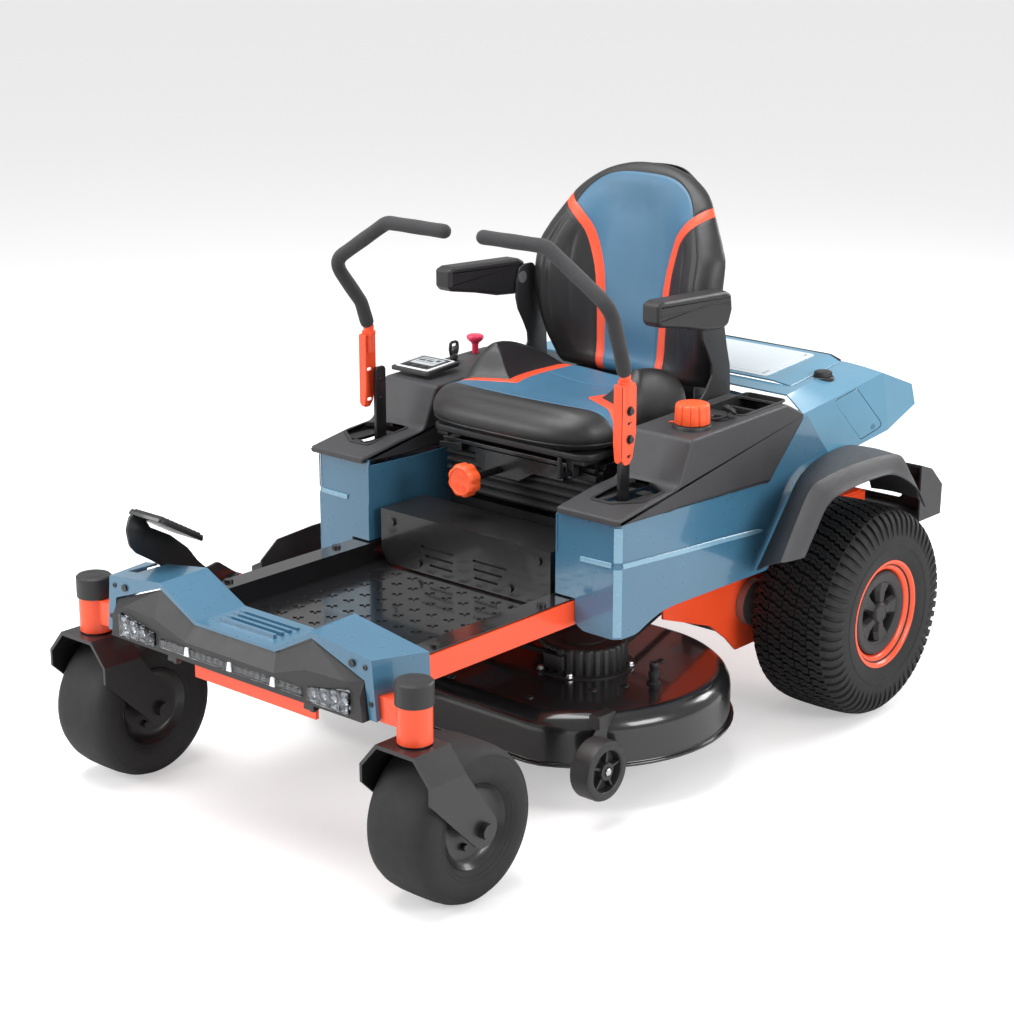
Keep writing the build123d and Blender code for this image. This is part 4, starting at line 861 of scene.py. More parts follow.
# 12 V socket with its open cap and strap
parts = [revolve("s", [(20, 697), (20.5, 701.5), (19, 703.5), (14.5, 704.2), (13.0, 703.0), (12.6, 690), (0, 690)], (368, -372, 0), "z", 40)]
parts.append(revolve("s", [(0, 690), (4, 690), (4, 698), (2.6, 699.5), (0, 699.5)], (368, -372, 0), "z", 20))
flap = revolve("s", [(0, 0), (15.5, 0), (17, 2.2), (15.5, 4.6), (12.8, 4.8), (12.4, 9), (0, 9)], (0, -AX, 0), "z", 36)
flap.data.transform(Matrix.Translation(M(378, -352, 712)) @ Matrix.Rotation(radians(-34), 4, "X") @ Matrix.Rotation(radians(14), 4, "Y"))
parts.append(flap)
parts.append(tube("s", smooth_path([(374, -392, 702.5), (384, -386, 706), (386, -370, 709), (381, -360, 711)], 8), 2.2, 8))
s12 = join("power_socket", parts)
dress(s12, BLACK_P, "chassis", (), bevel=0.5, seg=2)

# dial collar and pointer
c = revolve("dial_collar", [(0, 690), (39.5, 690), (39.5, 700), (38, 702.4), (33, 703.6), (0, 703.6)], (360, -450, 0), "z", 56)
dress(c, BLACK_P, "chassis", ())
pm = puffy("dial_pointer", [(306, -456), (306, -444), (317, -450)], "xy", 696.5, 698.5, 0.6, 2)
dress(pm, DIAL_O, "chassis", ())
# dial: fluted cap
N = 144
secs = []
for z, k in ((703.8, 0.97), (705, 1.0), (738, 0.955), (742.0, 0.93), (744.0, 0.86), (744.4, 0.78)):
    loop = []
    for i in range(N):
        a = 2 * pi * i / N
        f = abs(sin(a * 6))
        r = (36.0 - 3.6 * (1 - f) ** 3 * (1 if z < 743 else 0.2)) * k
        loop.append(M(360 + r * cos(a), -450 + r * sin(a), z))
    secs.append(loop)
dl = loft("fluted_dial", secs, smooth=50)
rib = puffy("rib", [(356.5, -481), (363.5, -481), (363.5, -452), (356.5, -452)], "xy", 743.5, 746.0, 1.0, 2)
dl = join("fluted_dial", [dl, rib])
dress(dl, DIAL_O, "height_dial", ("height_dial",))

# right console: key, knob, display
kp = revolve("key_bezel", [(0, 690), (20, 690), (20, 699), (18.5, 701.5), (13, 702.5), (11, 701.0), (0, 701.0)], (-372, -352, 0), "z", 40)
dress(kp, BLACK_P, "chassis", ())
kb = revolve("kb", [(0, 687), (7.5, 687), (7.5, 706), (9.5, 708), (9.5, 716), (7, 719), (0, 719)], (-372, -352, 0), "z", 28)
kh = puffy("kh", round_poly([(-365, 716), (-339, 716), (-336, 730), (-338, 744), (-345, 748), (-359, 748), (-366, 744), (-368, 730)], 4, 3), "yz", -374.2, -369.8, 1.6, 3)
hole = prism("hole", round_poly([(-360, 735), (-344, 735), (-344, 742), (-360, 742)], 3, 3), "yz", -380, -360)
boolean(kh, hole)
k = join("key_assembly", [kb, kh])
dress(k, BLACK_P, "ignition_key", ("ignition_key",))
kp = revolve("knob_bezel", [(0, 692), (17, 692), (17, 700.5), (15.5, 702.6), (10.5, 703.2), (10.5, 699), (0, 699)], (-390, -262, 0), "z", 36)
dress(kp, BLACK_P, "chassis", ())
kn = revolve("mushroom_knob", [(0, 690), (7.5, 690), (7.5, 722), (10, 727), (15.5, 731), (18.8, 735), (19.8, 739), (18.6, 742.6), (15, 744.8), (8, 745.8), (0, 746)], (-390, -262, 0), "z", 44)
dress(kn, RED, "pto_knob", ("pto_knob",))


# display: dark tray, white frame, screen, buttons
def tilt(pts):
    """Local (u across x, v along the station, w up) to the row frame on the tilted panel."""
    c, s_ = cos(radians(-4)), sin(radians(-4))
    return [M(-364 + u, -452 + v * c + w * s_, 706 + w * c - v * s_) for u, v, w in pts]


def tprism(name, pts, w0, w1, r=0.8):
    loops = []
    for w, ins in ((w0, 0), (w1 - r, 0), (w1 - 0.3 * r, 0.3 * r), (w1, r)):
        qq = offset_poly(pts, ins) if ins else pts
        loops.append(tilt([(u, v, w) for u, v in qq]))
    return loft(name, loops)


tray = tprism("tray", round_poly([(-56, -52), (56, -52), (56, 52), (-56, 52)], 7, 5), 0, 8.5, 2.0)
dress(tray, BLACK_P, "chassis", ("display_panel",))
wf = tprism("white_frame", round_poly([(-49, -45), (49, -45), (49, 46), (-49, 46)], 6, 5), 7.5, 10.2, 1.0)
dress(wf, WHITE, "chassis", ())
bz = tprism("dark_bezel", round_poly([(-42, -39), (42, -39), (42, 40), (-42, 40)], 4, 4), 9.6, 10.9, 0.6)
dress(bz, BLACK_P, "chassis", ())
sc = tprism("screen", round_poly([(-34, -14), (34, -14), (34, 33), (-34, 33)], 3, 4), 10.4, 11.4, 0.4)
dress(sc, LCD, "chassis", ())
sg = []
for (u0, u1, v0, v1) in ((-28, 6, 22, 24), (-28, -10, 8, 16), (-6, 12, 8, 16), (-28, 24, 0, 1.5), (16, 26, 14, 26)):
    sg.append(tprism("seg", [(u0, v0), (u1, v0), (u1, v1), (u0, v1)], 11.2, 11.7, 0.15))
sg = join("screen_segments", sg)
dress(sg, CHAR, "chassis", ())
bt = []
for (u, v) in ((-24, -27), (0, -27), (24, -27)):
    bt.append(loft("bt", [tilt([(u + r * cos(2 * pi * i / 28), v + r * sin(2 * pi * i / 28), w) for i in range(28)]) for r, w in ((7.6, 10.5), (7.6, 12.2), (6.8, 13.0), (4, 13.3))]))
bt = join("panel_buttons", bt)
dress(bt, RUBBER, "chassis", ())


# ------------------------------------------------------------------ seat
def zone_mat(name, blue, orange, black, w):
    """Three upholstery colours split by two signed distances kept on the mesh."""
    m, nt, b = new_mat(name)
    N, L = nt.nodes.new, nt.links.new
    tc = N("ShaderNodeTexCoord")
    a1, a2 = N("ShaderNodeAttribute"), N("ShaderNodeAttribute")
    a1.attribute_name, a2.attribute_name = "s1", "g"

    def math_(op, x, y=None):
        n = N("ShaderNodeMath")
        n.operation = op
        for i, q in enumerate((x, y)):
            if q is None:
                continue
            if isinstance(q, (int, float)):
                n.inputs[i].default_value = q
            else:
                L(q, n.inputs[i])
        return n.outputs[0]
    s1, g = a1.outputs["Fac"], a2.outputs["Fac"]
    isblue = math_("MULTIPLY", math_("LESS_THAN", s1, 0.0), math_("GREATER_THAN", g, 0.0))
    isor = math_("MULTIPLY", math_("GREATER_THAN", s1, 0.0), math_("LESS_THAN", s1, w))
    ga = N("ShaderNodeAttribute")
    ga.attribute_name = "cut"
    isor = math_("MULTIPLY", isor, math_("GREATER_THAN", ga.outputs["Fac"], 0.0))
    n1 = N("ShaderNodeTexNoise")
    n1.inputs["Scale"].default_value = 7
    n1.inputs["Detail"].default_value = 6
    L(tc.outputs["Object"], n1.inputs["Vector"])

    def drift(c):
        cr = N("ShaderNodeValToRGB")
        cr.color_ramp.elements[0].position, cr.color_ramp.elements[1].position = 0.3, 0.7
        cr.color_ramp.elements[0].color = (*[q * 0.88 for q in c], 1)
        cr.color_ramp.elements[1].color = (*[min(1, q * 1.1) for q in c], 1)
        L(n1.outputs["Fac"], cr.inputs["Fac"])
        return cr.outputs["Color"]

    def mixc(f, a, c):
        x = N("ShaderNodeMix")
        x.data_type = "RGBA"
        L(f, x.inputs["Factor"])
        L(a, x.inputs["A"])
        L(c, x.inputs["B"])
        return x.outputs["Result"]
    col = mixc(isor, mixc(isblue, drift(black), drift(blue)), drift(orange))
    L(col, b.inputs["Base Color"])
    n2 = N("ShaderNodeTexNoise")
    n2.inputs["Scale"].default_value = 45
    L(tc.outputs["Object"], n2.inputs["Vector"])
    rr = N("ShaderNodeMapRange")
    rr.inputs["To Min"].default_value, rr.inputs["To Max"].default_value = 0.36, 0.52
    L(n2.outputs["Fac"], rr.inputs["Value"])
    L(rr.outputs[0], b.inputs["Roughness"])
    g1 = N("ShaderNodeTexVoronoi")
    g1.feature = "DISTANCE_TO_EDGE"
    g1.inputs["Scale"].default_value = 620
    L(tc.outputs["Object"], g1.inputs["Vector"])
    bp = N("ShaderNodeBump")
    bp.inputs["Strength"].default_value = 0.35
    bp.inputs["Distance"].default_value = 0.001
    L(g1.outputs["Distance"], bp.inputs["Height"])
    L(bp.outputs[0], b.inputs["Normal"])
    b.inputs["Coat Weight"].default_value = 0.12
    b.inputs["Coat Roughness"].default_value = 0.35
    return m


SEAT = zone_mat("seat_upholstery", (0.050, 0.150, 0.250), (0.88, 0.085, 0.030), (0.0150, 0.0150, 0.0158), 24.0)
BACKM = zone_mat("back_upholstery", (0.050, 0.150, 0.250), (0.88, 0.085, 0.030), (0.0150, 0.0150, 0.0158), 20.0)


def sdist(P, x, y):
    """Signed distance to an open polyline: negative on its left-hand side walking along it."""
    best, sg = 1e9, 1
    for (ax, ay), (bx, by) in zip(P, P[1:]):
        dx, dy = bx - ax, by - ay
        t = max(0, min(1, ((x - ax) * dx + (y - ay) * dy) / (dx * dx + dy * dy)))
        qx, qy = ax + t * dx, ay + t * dy
        d = sqrt((x - qx) ** 2 + (y - qy) ** 2)
        if d < best - 1e-9:
            best = d
            cr = dx * (y - ay) - dy * (x - ax)
            sg = -1 if cr < 0 else 1
    return best * sg


def attr(o, name, vals):
    a = o.data.attributes.new(name, "FLOAT", "POINT")
    a.data.foreach_set("value", vals)


C1 = catmull([(112, -150), (116, -260), (117, -360), (108, -420), (97, -447)], 14)[:-1] + catmull([(97, -447), (101, -459), (118, -468), (175, -497), (222, -528), (262, -556)], 18)
C1 = [(p.x, p.y) for p in C1]
# which side of the curve the blue middle lies on
FLIP = -1 if sdist(C1, 0, -400) > 0 else 1


def cushion_outline(t):
    """Plan outline of the cushion: a soft-cornered square, and its outward normal's support distance."""
    def at(t):
        c, q = cos(t), sin(t)
        n = 2 / 3.9
        x = 236.0 * math.copysign(abs(c) ** n, c)
        d = 216.0 * math.copysign(abs(q) ** n, q)
        x *= 1 - 0.05 * ss(0, 216, d)
        return Vector((x, d))
    p, e = at(t), 0.004
    g = at(t + e) - at(t - e)
    nrm = Vector((g.y, -g.x)).normalized()
    return p, abs(p.dot(nrm)), nrm


def cushion():
    nt, nr = ((440, 104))
    dc = -424.0
    zmid = 672.0
    verts, S1, G, CUT = [], [], [], []
    # even spacing round the outline
    raw = [cushion_outline(2 * pi * k / 2000)[0] for k in range(2001)]
    L = [0.0]
    for p, q in zip(raw, raw[1:]):
        L.append(L[-1] + (q - p).length)
    ts = []
    i = 0
    for k in range(nt):
        w = L[-1] * k / nt
        while L[i + 1] < w:
            i += 1
        ts.append(2 * pi * (i + (w - L[i]) / (L[i + 1] - L[i])) / 2000)
    out = [cushion_outline(t) for t in ts]
    rad = [sin(pi / 2 * k / nr) for k in range(nr + 1)]

    def top(x, d, e, front):
        ax = abs(x)
        s1 = sdist(C1, ax, d) * FLIP
        rf = 50.0 * (1 - front) + 58.0 * front
        k = sqrt(max(0, 1 - (1 - min(1.0, e / rf)) ** 2))
        bol = ss(18, 84, s1) * ss(-575, -440, d) * (1 - 0.52 * ss(-400, -215, d))
        H = 716.0 + 66.0 * bol - 6.0 * (1 - ss(0, 120, ax)) * ss(-560, -450, d)
        H += 5.0 * ss(-606, -585, d) * (1 - ss(-575, -520, d))
        z = zmid + (H - zmid) * k
        gf = d - (-560.0 + 24.0 * (ax / 236.0) ** 2)
        for q in (s1, s1 - 24.0):
            z -= 2.4 * math.exp(-(q / 2.8) ** 2) * min(1, k * 1.4)
        if s1 < 0:
            z -= 2.6 * math.exp(-(gf / 2.8) ** 2)
            z -= 1.6 * math.exp(-((d + 350 - 8 * (ax / 110.0) ** 2) / 6.0) ** 2) * (1 - ss(90, 112, ax))
        if s1 > 24:
            z -= 1.8 * math.exp(-((s1 - 70) / 4.5) ** 2) * ss(-560, -500, d) * (1 - ss(-300, -240, d))
        return z, s1, gf

    def bottom(e):
        k = sqrt(max(0, 1 - (1 - min(1.0, e / 34.0)) ** 2))
        return zmid - (zmid - 640.5) * k

    index = {}
    for side in (0, 1):
        for r_i in range(0, nr + 1):
            if side == 1 and r_i == nr:
                continue
            for k, (p, h, nrm) in enumerate(out):
                if r_i == 0:
                    if (side, 0, 0) in index:
                        index[(side, 0, k)] = index[(side, 0, 0)]
                        continue
                r = rad[r_i]
                q = p * r
                x, d = q.x, q.y + dc
                e = (1 - r) * h
                front = ss(0.2, 0.9, -nrm.y)
                if side == 0:
                    z, s1, gf = top(x, d, e, front)
                    cut = 1.0
                else:
                    z, s1, gf = bottom(e), sdist(C1, abs(x), d) * FLIP, -10.0
                    cut = 1.0 if z > 650 else -1.0
                verts.append(M(x, d, z))
                S1.append(s1)
                G.append(gf)
                CUT.append(cut)
                index[(side, r_i, k)] = len(verts) - 1
    for k in range(nt):
        index[(1, nr, k)] = index[(0, nr, k)]
    f = []
    for side in (0, 1):
        for r_i in range(nr):
            for k in range(nt):
                j = (k + 1) % nt
                q = [index[(side, r_i, k)], index[(side, r_i + 1, k)], index[(side, r_i + 1, j)], index[(side, r_i, j)]]
                q = [v for n_, v in enumerate(q) if v not in q[:n_]]
                f.append(q if side == 0 else q[::-1])
    me = bpy.data.meshes.new("seat_cushion_skin")
    me.from_pydata([tuple(v) for v in verts], [], f)
    me.update()
    o = bpy.data.objects.new("seat_cushion_skin", me)
    bpy.context.scene.collection.objects.link(o)
    attr(o, "s1", S1)
    attr(o, "g", G)
    attr(o, "cut", CUT)
    me.shade_smooth()
    return o


cu = cushion()
dress(cu, SEAT, "seat", ("seat_cushion",))
# piping round the cushion's lower seam
loop = []
for k in range(120):
    p, h, nrm = cushion_outline(2 * pi * k / 120)
    loop.append((p.x - nrm.x * 4.5, p.y - nrm.y * 4.5 - 424.0, 657.0))
loop.append(loop[0])
pp = tube("cushion_piping", loop, 2.4, 8)
dress(pp, VINYL, "seat", ())

# back rest
BW = [(700, 196), (716, 210), (746, 226), (776, 236), (850, 246), (960, 246), (1003, 231), (1040, 209), (1088, 178), (1112, 159), (1130, 140), (1143, 121), (1150, 105), (1152, 96)]
BS = [(69, 680), (70, 700), (72, 757), (74, 820), (78, 880), (87, 940), (108, 1004), (134, 1038), (160, 1060), (188, 1079), (228, 1100)]
BSC = [(p.x, p.y) for p in catmull(BS, 60)]
BFLIP = -1 if sdist(BSC, 0, 900) > 0 else 1
B_FRONT = [(700, -203), (726, -203), (760, -196), (880, -189), (1000, -178), (1075, -168), (1137, -158), (1152, -155)]
B_CREST = [(700, -203), (726, -206), (760, -218), (810, -236), (860, -246), (913, -249), (960, -238), (1003, -220), (1060, -191), (1110, -168), (1152, -156)]
B_EDGE = [(700, -186), (726, -186), (760, -188), (850, -200), (913, -204), (1003, -184), (1060, -164), (1110, -144), (1152, -132)]
B_REAR = [(622, -174), (700, -176), (752, -172), (785, -148), (860, -112), (1000, -80), (1100, -84), (1152, -100)]
CV = {k: [(p.x, p.y) for p in catmull(v, 60)] for k, v in (("f", B_FRONT), ("c", B_CREST), ("e", B_EDGE), ("r", B_REAR), ("w", BW))}


def bulge(z, ax, W):
    return (abs(ax) / max(W, 1.0)) ** 2.1


def back_rest():
    nu, nv = ((210, 200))
    verts, idx, S1, G, CUT = [], {}, [], [], []
    z0, z1 = 700.0, 1152.0
    for side in (0, 1):
        for i in range(nu + 1):
            for j in range(nv + 1):
                edge = i in (0, nu) or j in (0, nv)
                if side == 1 and edge:
                    idx[(1, i, j)] = idx[(0, i, j)]
                    continue
                u = sin(pi / 2 * (2 * i / nu - 1) * 0.93) / sin(pi / 2 * 0.93)
                v = sin(pi / 2 * (2 * j / nv - 1) * 0.93) / sin(pi / 2 * 0.93)
                z = (z0 + z1) / 2 + (z1 - z0) / 2 * v
                W = interp(CV["w"], z)
                x = W * u
                zz = z - 16.0 * (abs(u) ** 2.4) * ss(1070, 1152, z)
                eu, ev = W * (1 - abs(u)), (z1 - z0) / 2 * (1 - abs(v))
                ku = sqrt(max(0, 1 - (1 - min(1, eu / 40.0)) ** 2))
                kv = sqrt(max(0, 1 - (1 - min(1, ev / (44.0 if v > 0 else 20.0))) ** 2))
                ax = abs(x)
                mid = interp(CV["e"], z)
                s1 = sdist(BSC, ax, z) * BFLIP
                g = 1133.0 - 44.0 * (ax / 140.0) ** 4.6 - z
                if side == 0:
                    fc, cr = interp(CV["f"], z), interp(CV["c"], z)
                    bol = ss(0.30 * W, 0.84 * W, ax)
                    dd = fc + (cr - fc) * bol + 7.0 * (1 - ss(0, 0.42 * W, ax)) * (1 - ss(1040, 1140, z))
                    dd -= 7.0 * math.exp(-((z - 810) / 60.0) ** 2) * (1 - ss(40, 90, ax))
                    dd += 2.6 * (math.exp(-(s1 / 2.8) ** 2) + math.exp(-((s1 - 20.0) / 2.8) ** 2))
                    if s1 < 0:
                        dd += 2.6 * math.exp(-(g / 3.0) ** 2)
                    if s1 > 20:
                        # sculpted pleats down each wing
                        dd += 4.2 * math.exp(-((ax - 0.62 * W) / 7.0) ** 2) * ss(730, 800, z) * (1 - ss(950, 1030, z))
                        dd += 3.4 * math.exp(-((ax - 0.80 * W) / 6.0) ** 2) * ss(760, 840, z) * (1 - ss(990, 1070, z))
                    y = mid + (dd - mid) * ku * kv
                else:
                    rr = interp(CV["r"], z) - 1.5
                    y = mid + (rr - mid) * (1 - bulge(z, ax, W)) * kv
                verts.append(M(x, y, zz))
                S1.append(s1)
                G.append(g)
                CUT.append(1.0 if side == 0 and z < 1126 else -1.0)
                idx[(side, i, j)] = len(verts) - 1
    f = []
    for side in (0, 1):
        for i in range(nu):
            for j in range(nv):
                q = [idx[(side, i, j)], idx[(side, i + 1, j)], idx[(side, i + 1, j + 1)], idx[(side, i, j + 1)]]
                f.append(q[::-1] if side == 0 else q)
    me = bpy.data.meshes.new("seat_back_skin")
    me.from_pydata([tuple(v) for v in verts], [], f)
    me.update()
    o = bpy.data.objects.new("seat_back_skin", me)
    bpy.context.scene.collection.objects.link(o)
    attr(o, "s1", S1)
    attr(o, "g", G)
    attr(o, "cut", CUT)
    bm = bmesh.new()
    bm.from_mesh(me)
    bmesh.ops.recalc_face_normals(bm, faces=bm.faces)
    bm.to_mesh(me)
    bm.free()
    me.shade_smooth()
    return o


bk = back_rest()
dress(bk, BACKM, "seat", ("seat_back",))


# rear shell, pan, runners and armrest brackets
def back_shell():
    secs = []
    zs = [624, 660, 692, 700, 708, 716, 726, 740, 755, 770, 785, 800, 820, 840, 860, 885, 910, 940, 970, 1000, 1020, 1040, 1060, 1080, 1095, 1110, 1122, 1132, 1140, 1145]
    n = 44
    for z in zs:
        neck = 1 - ss(692, 726, z)
        W = (interp(CV["w"], z) - 4) * (1 - neck) + 160 * neck
        e = interp(CV["e"], z) * (1 - neck) + (interp(CV["r"], z) + 2) * neck
        r = interp(CV["r"], z)
        outer, inner = [], []
        for k in range(n + 1):
            u = -1 + 2 * k / n
            x = W * u
            base = e + 1.5 + (r + 13 - e) * (1 - abs(u) ** 2.1)
            rib = (3.2 * ss(0, 7, 10 - abs(abs(x) - 62)) + 3.2 * ss(0, 7, 10 - abs(x))) * ss(770, 810, z) * (1 - ss(1040, 1085, z))
            zz = z - 16.0 * abs(u) ** 2.4 * ss(1070, 1152, z)
            outer.append(M(x, base + rib, zz))
            inner.append(M(x, base - 6.0, zz))
        secs.append(outer + inner[::-1])
    return loft("back_shell", secs, smooth=40)


pan = [back_shell(), puffy("pan", round_poly([(-215, -600), (215, -600), (215, -158), (-215, -158)], [40, 40, 8, 8], 6), "xy", 622, 638, 4.0, 4)]
for s in (-1, 1):
    pan.append(puffy("runner", round_poly([(s * 170, 612.5), (s * 200, 612.5), (s * 200, 622.5), (s * 170, 622.5)], 2.5, 3), "xz", -590, -170, 1.5, 2))
    front_ = [(-252, 921), (-272, 914), (-282, 884), (-282, 850), (-275, 824), (-258, 796), (-243, 767), (-241, 745), (-262, 716), (-290, 692), (-302, 664), (-302, 638)]
    rear_ = [(-182, 638), (-176, 700), (-180, 760), (-192, 800), (-206, 860), (-212, 905), (-228, 921)]
    pan.append(puffy("arm_bracket", round_poly(front_ + rear_, [12, 14, 22, 22, 26, 26, 16, 14, 22, 20, 14, 4, 4, 30, 30, 30, 30, 14, 12], 5), "yz", s * 248.5, s * 254.5, 2.0, 3))
    pan.append(puffy("strap", [(s * 205, 633), (s * 254, 633), (s * 254, 641), (s * 205, 641)], "xz", -300, -184, 1.2, 2))
    pan.append(revolve("pin", [(0, s * 250), (8, s * 250), (8, s * 299), (7, s * 300), (0, s * 300)], (0, -262, 893), "x", 28))
lug = puffy("lug", round_poly([(152, 581), (172, 581), (172, 624), (152, 624)], [9, 9, 1, 1], 5), "xz", -590, -572, 1.2, 2)
boolean(lug, prism("lh", [(162 + 5.7 * cos(2 * pi * k / 28), 592 + 5.7 * sin(2 * pi * k / 28)) for k in range(28)], "xz", -600, -560))
pan.append(lug)
sfj = join("seat_shell", pan)
dress(sfj, BLACK_P, "seat", ("seat_frame",))

# black sheet behind the toe box louvres: painted shade, so the slots read dark instead of showing the frame inside
tbk = puffy("toe_box_shade_sheet", round_poly([(-120, 366), (120, 366), (120, 428), (-120, 428)], 6, 4), "xz", -725.4, -723.8, 0.5, 2)
dress(tbk, SHADE_SHEET, "chassis", ())

# armrests
ARM = round_poly([(-487, 900), (-478, 890), (-400, 876), (-330, 860), (-272, 855), (-252, 862), (-240, 892), (-245, 925), (-262, 933), (-470, 942), (-487, 936)], [6, 12, 60, 40, 20, 12, 16, 8, 12, 8, 7], 5)
for s, side in ((1, "left"), (-1, "right")):
    o = puffy(side + "_armrest_pad", ARM, "yz", s * 256, s * 302, 9.0, 5)
    dress(o, VINYL, side + "_armrest", (side + "_armrest",))
    wn = o.modifiers.new("wn", "WEIGHTED_NORMAL")
    wn.weight = 80
    # seam line along the pad's flank and its pivot cap
    line = tube(side + "_armrest_seam", [(s * 302.4, d, z) for d, z in ((-480, 912), (-400, 911), (-300, 910), (-250, 908))], 1.0, 6)
    dress(line, VINYL, side + "_armrest", ())
    cap = revolve(side + "_armrest_cap", [(0, 252.0), (0, 248.2), (13, 248.2), (14, 249.5), (14, 252.0)] if s > 0 else [(0, -252.0), (0, -248.2), (13, -248.2), (14, -249.5), (14, -252.0)], (0, -262, 893), "x", 32)
    dress(cap, CAST, "seat", ())

# ------------------------------------------------------------------ steering levers
for s, side in ((1, "left"), (-1, "right")):
    bar = puffy("bar", round_poly([(-644, 510), (-637, 503), (-621, 503), (-614, 510), (-614, 738), (-618, 744), (-640, 744), (-644, 738)], 4, 3), "yz", s * 326, s * 334, 1.2, 2)
    riv = [revolve("rv", [(0, 325.0), (0, 323.4), (3.6, 324.2), (4.2, 326.2), (0, 326.2)] if s > 0 else [(0, -325.0), (0, -323.4), (3.6, -324.2), (4.2, -326.2), (0, -326.2)], (0, -629, z), "x", 18) for z in (716, 676)]
    bar = join(side + "_lever_bar", [bar] + riv)
    dress(bar, BLACK_S, side + "_lever", (side + "_lap_bar",))
    web = puffy("web", round_poly([(-666, 816), (-624, 816), (-620, 806), (-620, 716), (-630, 668), (-640, 656), (-654, 656), (-666, 672)], [4, 5, 5, 14, 8, 8, 8, 4], 4), "yz", s * 348.5, s * 353, 1.0, 2)
    holes = []
    for d, z in ((-640, 737), (-640, 672)):
        holes.append(prism("h", round_poly([(d - 7, z - 3.5), (d + 7, z - 3.5), (d + 7, z + 3.5), (d - 7, z + 3.5)], 3.4, 4), "yz", s * 340, s * 360))
    boolean(web, holes)
    fl = puffy("fl", round_poly([(s * 333, 816), (s * 353, 816), (s * 353, 668), (s * 345, 660), (s * 337, 664), (s * 333, 700)], [3, 3, 4, 5, 5, 6], 3), "xz", -666.5, -662, 1.0, 2)
    ch = join(side + "_lever_channel", [web, fl])
    dress(ch, ORANGE, side + "_lever", (), bevel=0.8, seg=2)
    tb = tube("tb", [(s * 344, -645, 776), (s * 344, -645, 834)], 11.0, 28)
    col = revolve("col", [(11, 812), (14.6, 813), (14.6, 821), (11, 822)], (s * 344, -645, 0), "z", 32)
    tb = join(side + "_lever_tube", [tb, col])
    dress(tb, ORANGE, side + "_lever", ())
    bl = []
    for z in (762, 706):
        bl.append(revolve("bl", [(0, s * 352), (9.5, s * 352), (9.5, s * 353.6), (7.4, s * 353.8), (7.4, s * 358.6), (6.2, s * 359.6), (0, s * 359.6)], (0, -640, z), "x", 6, smooth=20))
        bl.append(revolve("bl", [(0, s * 353), (9.8, s * 353), (9.8, s * 354.2), (0, s * 354.2)], (0, -640, z), "x", 28))
    bl = join(side + "_lever_bolts", bl)
    dress(bl, BLACK_S, side + "_lever", (), bevel=0.5, seg=2)
    path = smooth_path([(s * 344.0, -645, 828), (s * 345.5, -664, 885), (s * 367, -721, 976), (s * 210, -721.5, 1073.6), (s * 37.6, -723.6, 1073.6)], 46, 9)
    # resample evenly
    L_ = [0]
    for i in range(1, len(path)):
        L_.append(L_[-1] + (path[i] - path[i - 1]).length)
    even = []
    K = 90
    for k in range(K + 1):
        t = L_[-1] * k / K
        i = max(i for i in range(len(L_)) if L_[i] <= t + 1e-9)
        i = min(i, len(path) - 2)
        even.append(path[i].lerp(path[i + 1], (t - L_[i]) / (L_[i + 1] - L_[i])))
    gr = tube(side + "_foam_grip", even, lambda t: 14.4 + 0.25 * sin(t * 40), 28, dome=True)
    dress(gr, FOAM, side + "_lever", (side + "_grip",))


# ------------------------------------------------------------------ fenders
def fender():
    A = [(-300, 374), (-262, 418), (-205, 487), (-150, 545), (-60, 571), (45, 570), (92, 528), (128, 458)]
    B = [(-382, 433), (-334, 503), (-287, 562), (-238, 577), (-100, 583), (40, 570), (92, 520), (135, 455)]
    C = [(-330, 436), (-292, 484), (-256, 526), (-205, 543), (-80, 548), (2, 538), (84, 494), (129, 441)]
    n = 72
    ca, cb, cc = catmull(A, n), catmull(B, n), catmull(C, n)
    cols = []
    for k in range(n):
        a, b, c = ca[k], cb[k], cc[k]
        row = []
        # from the body outwards: rise, rounded crease, flank, rolled lip
        for w in (0.0, 0.25, 0.5, 0.75, 0.92):
            p = a.lerp(b, w)
            up = 3.5 * sin(pi * w)
            row.append((421 + (531 - 421) * w, p.x, p.y + up))
        for w, x in ((0.02, 534.5), (0.10, 538.5), (0.22, 541.8), (0.6, 549.5), (0.9, 554.5)):
            p = b.lerp(c, w)
            row.append((x, p.x, p.y + (1.5 if w < 0.05 else 0)))
        p = c
        row.append((556.8, p.x, p.y + 1.5))
        row.append((557.0, p.x, p.y - 1.0))
        cols.append([M(*r) for r in row])
    v = [p for c in cols for p in c]
    m = len(cols[0])
    f = []
    for k in range(n - 1):
        for i in range(m - 1):
            f.append([k * m + i, k * m + i + 1, (k + 1) * m + i + 1, (k + 1) * m + i])
    o = obj_from("left_fender", v, f, 0)
    bm = bmesh.new()
    bm.from_mesh(o.data)
    bmesh.ops.recalc_face_normals(bm, faces=bm.faces)
    # make the normals face up and out
    up = sum((fc.normal.z for fc in bm.faces))
    if up < 0:
        bmesh.ops.reverse_faces(bm, faces=bm.faces)
    bm.to_mesh(o.data)
    bm.free()
    md = o.modifiers.new("s", "SOLIDIFY")
    md.thickness = 0.0038
    md.offset = -1
    apply_mods(o)
    o.data.shade_smooth()
    o.data.set_sharp_from_angle(angle=radians(40))
    return o


fe = fender()
fr = mirror_x(fe, "right_fender")
for q, side in ((fe, "left"), (fr, "right")):
    dress(q, CHAR, "chassis", ("rear_fenders",) if side == "left" else ())
    m = q.modifiers.new("edge", "BEVEL")
    m.width, m.segments, m.limit_method, m.angle_limit = 0.001, 2, "ANGLE", radians(50)


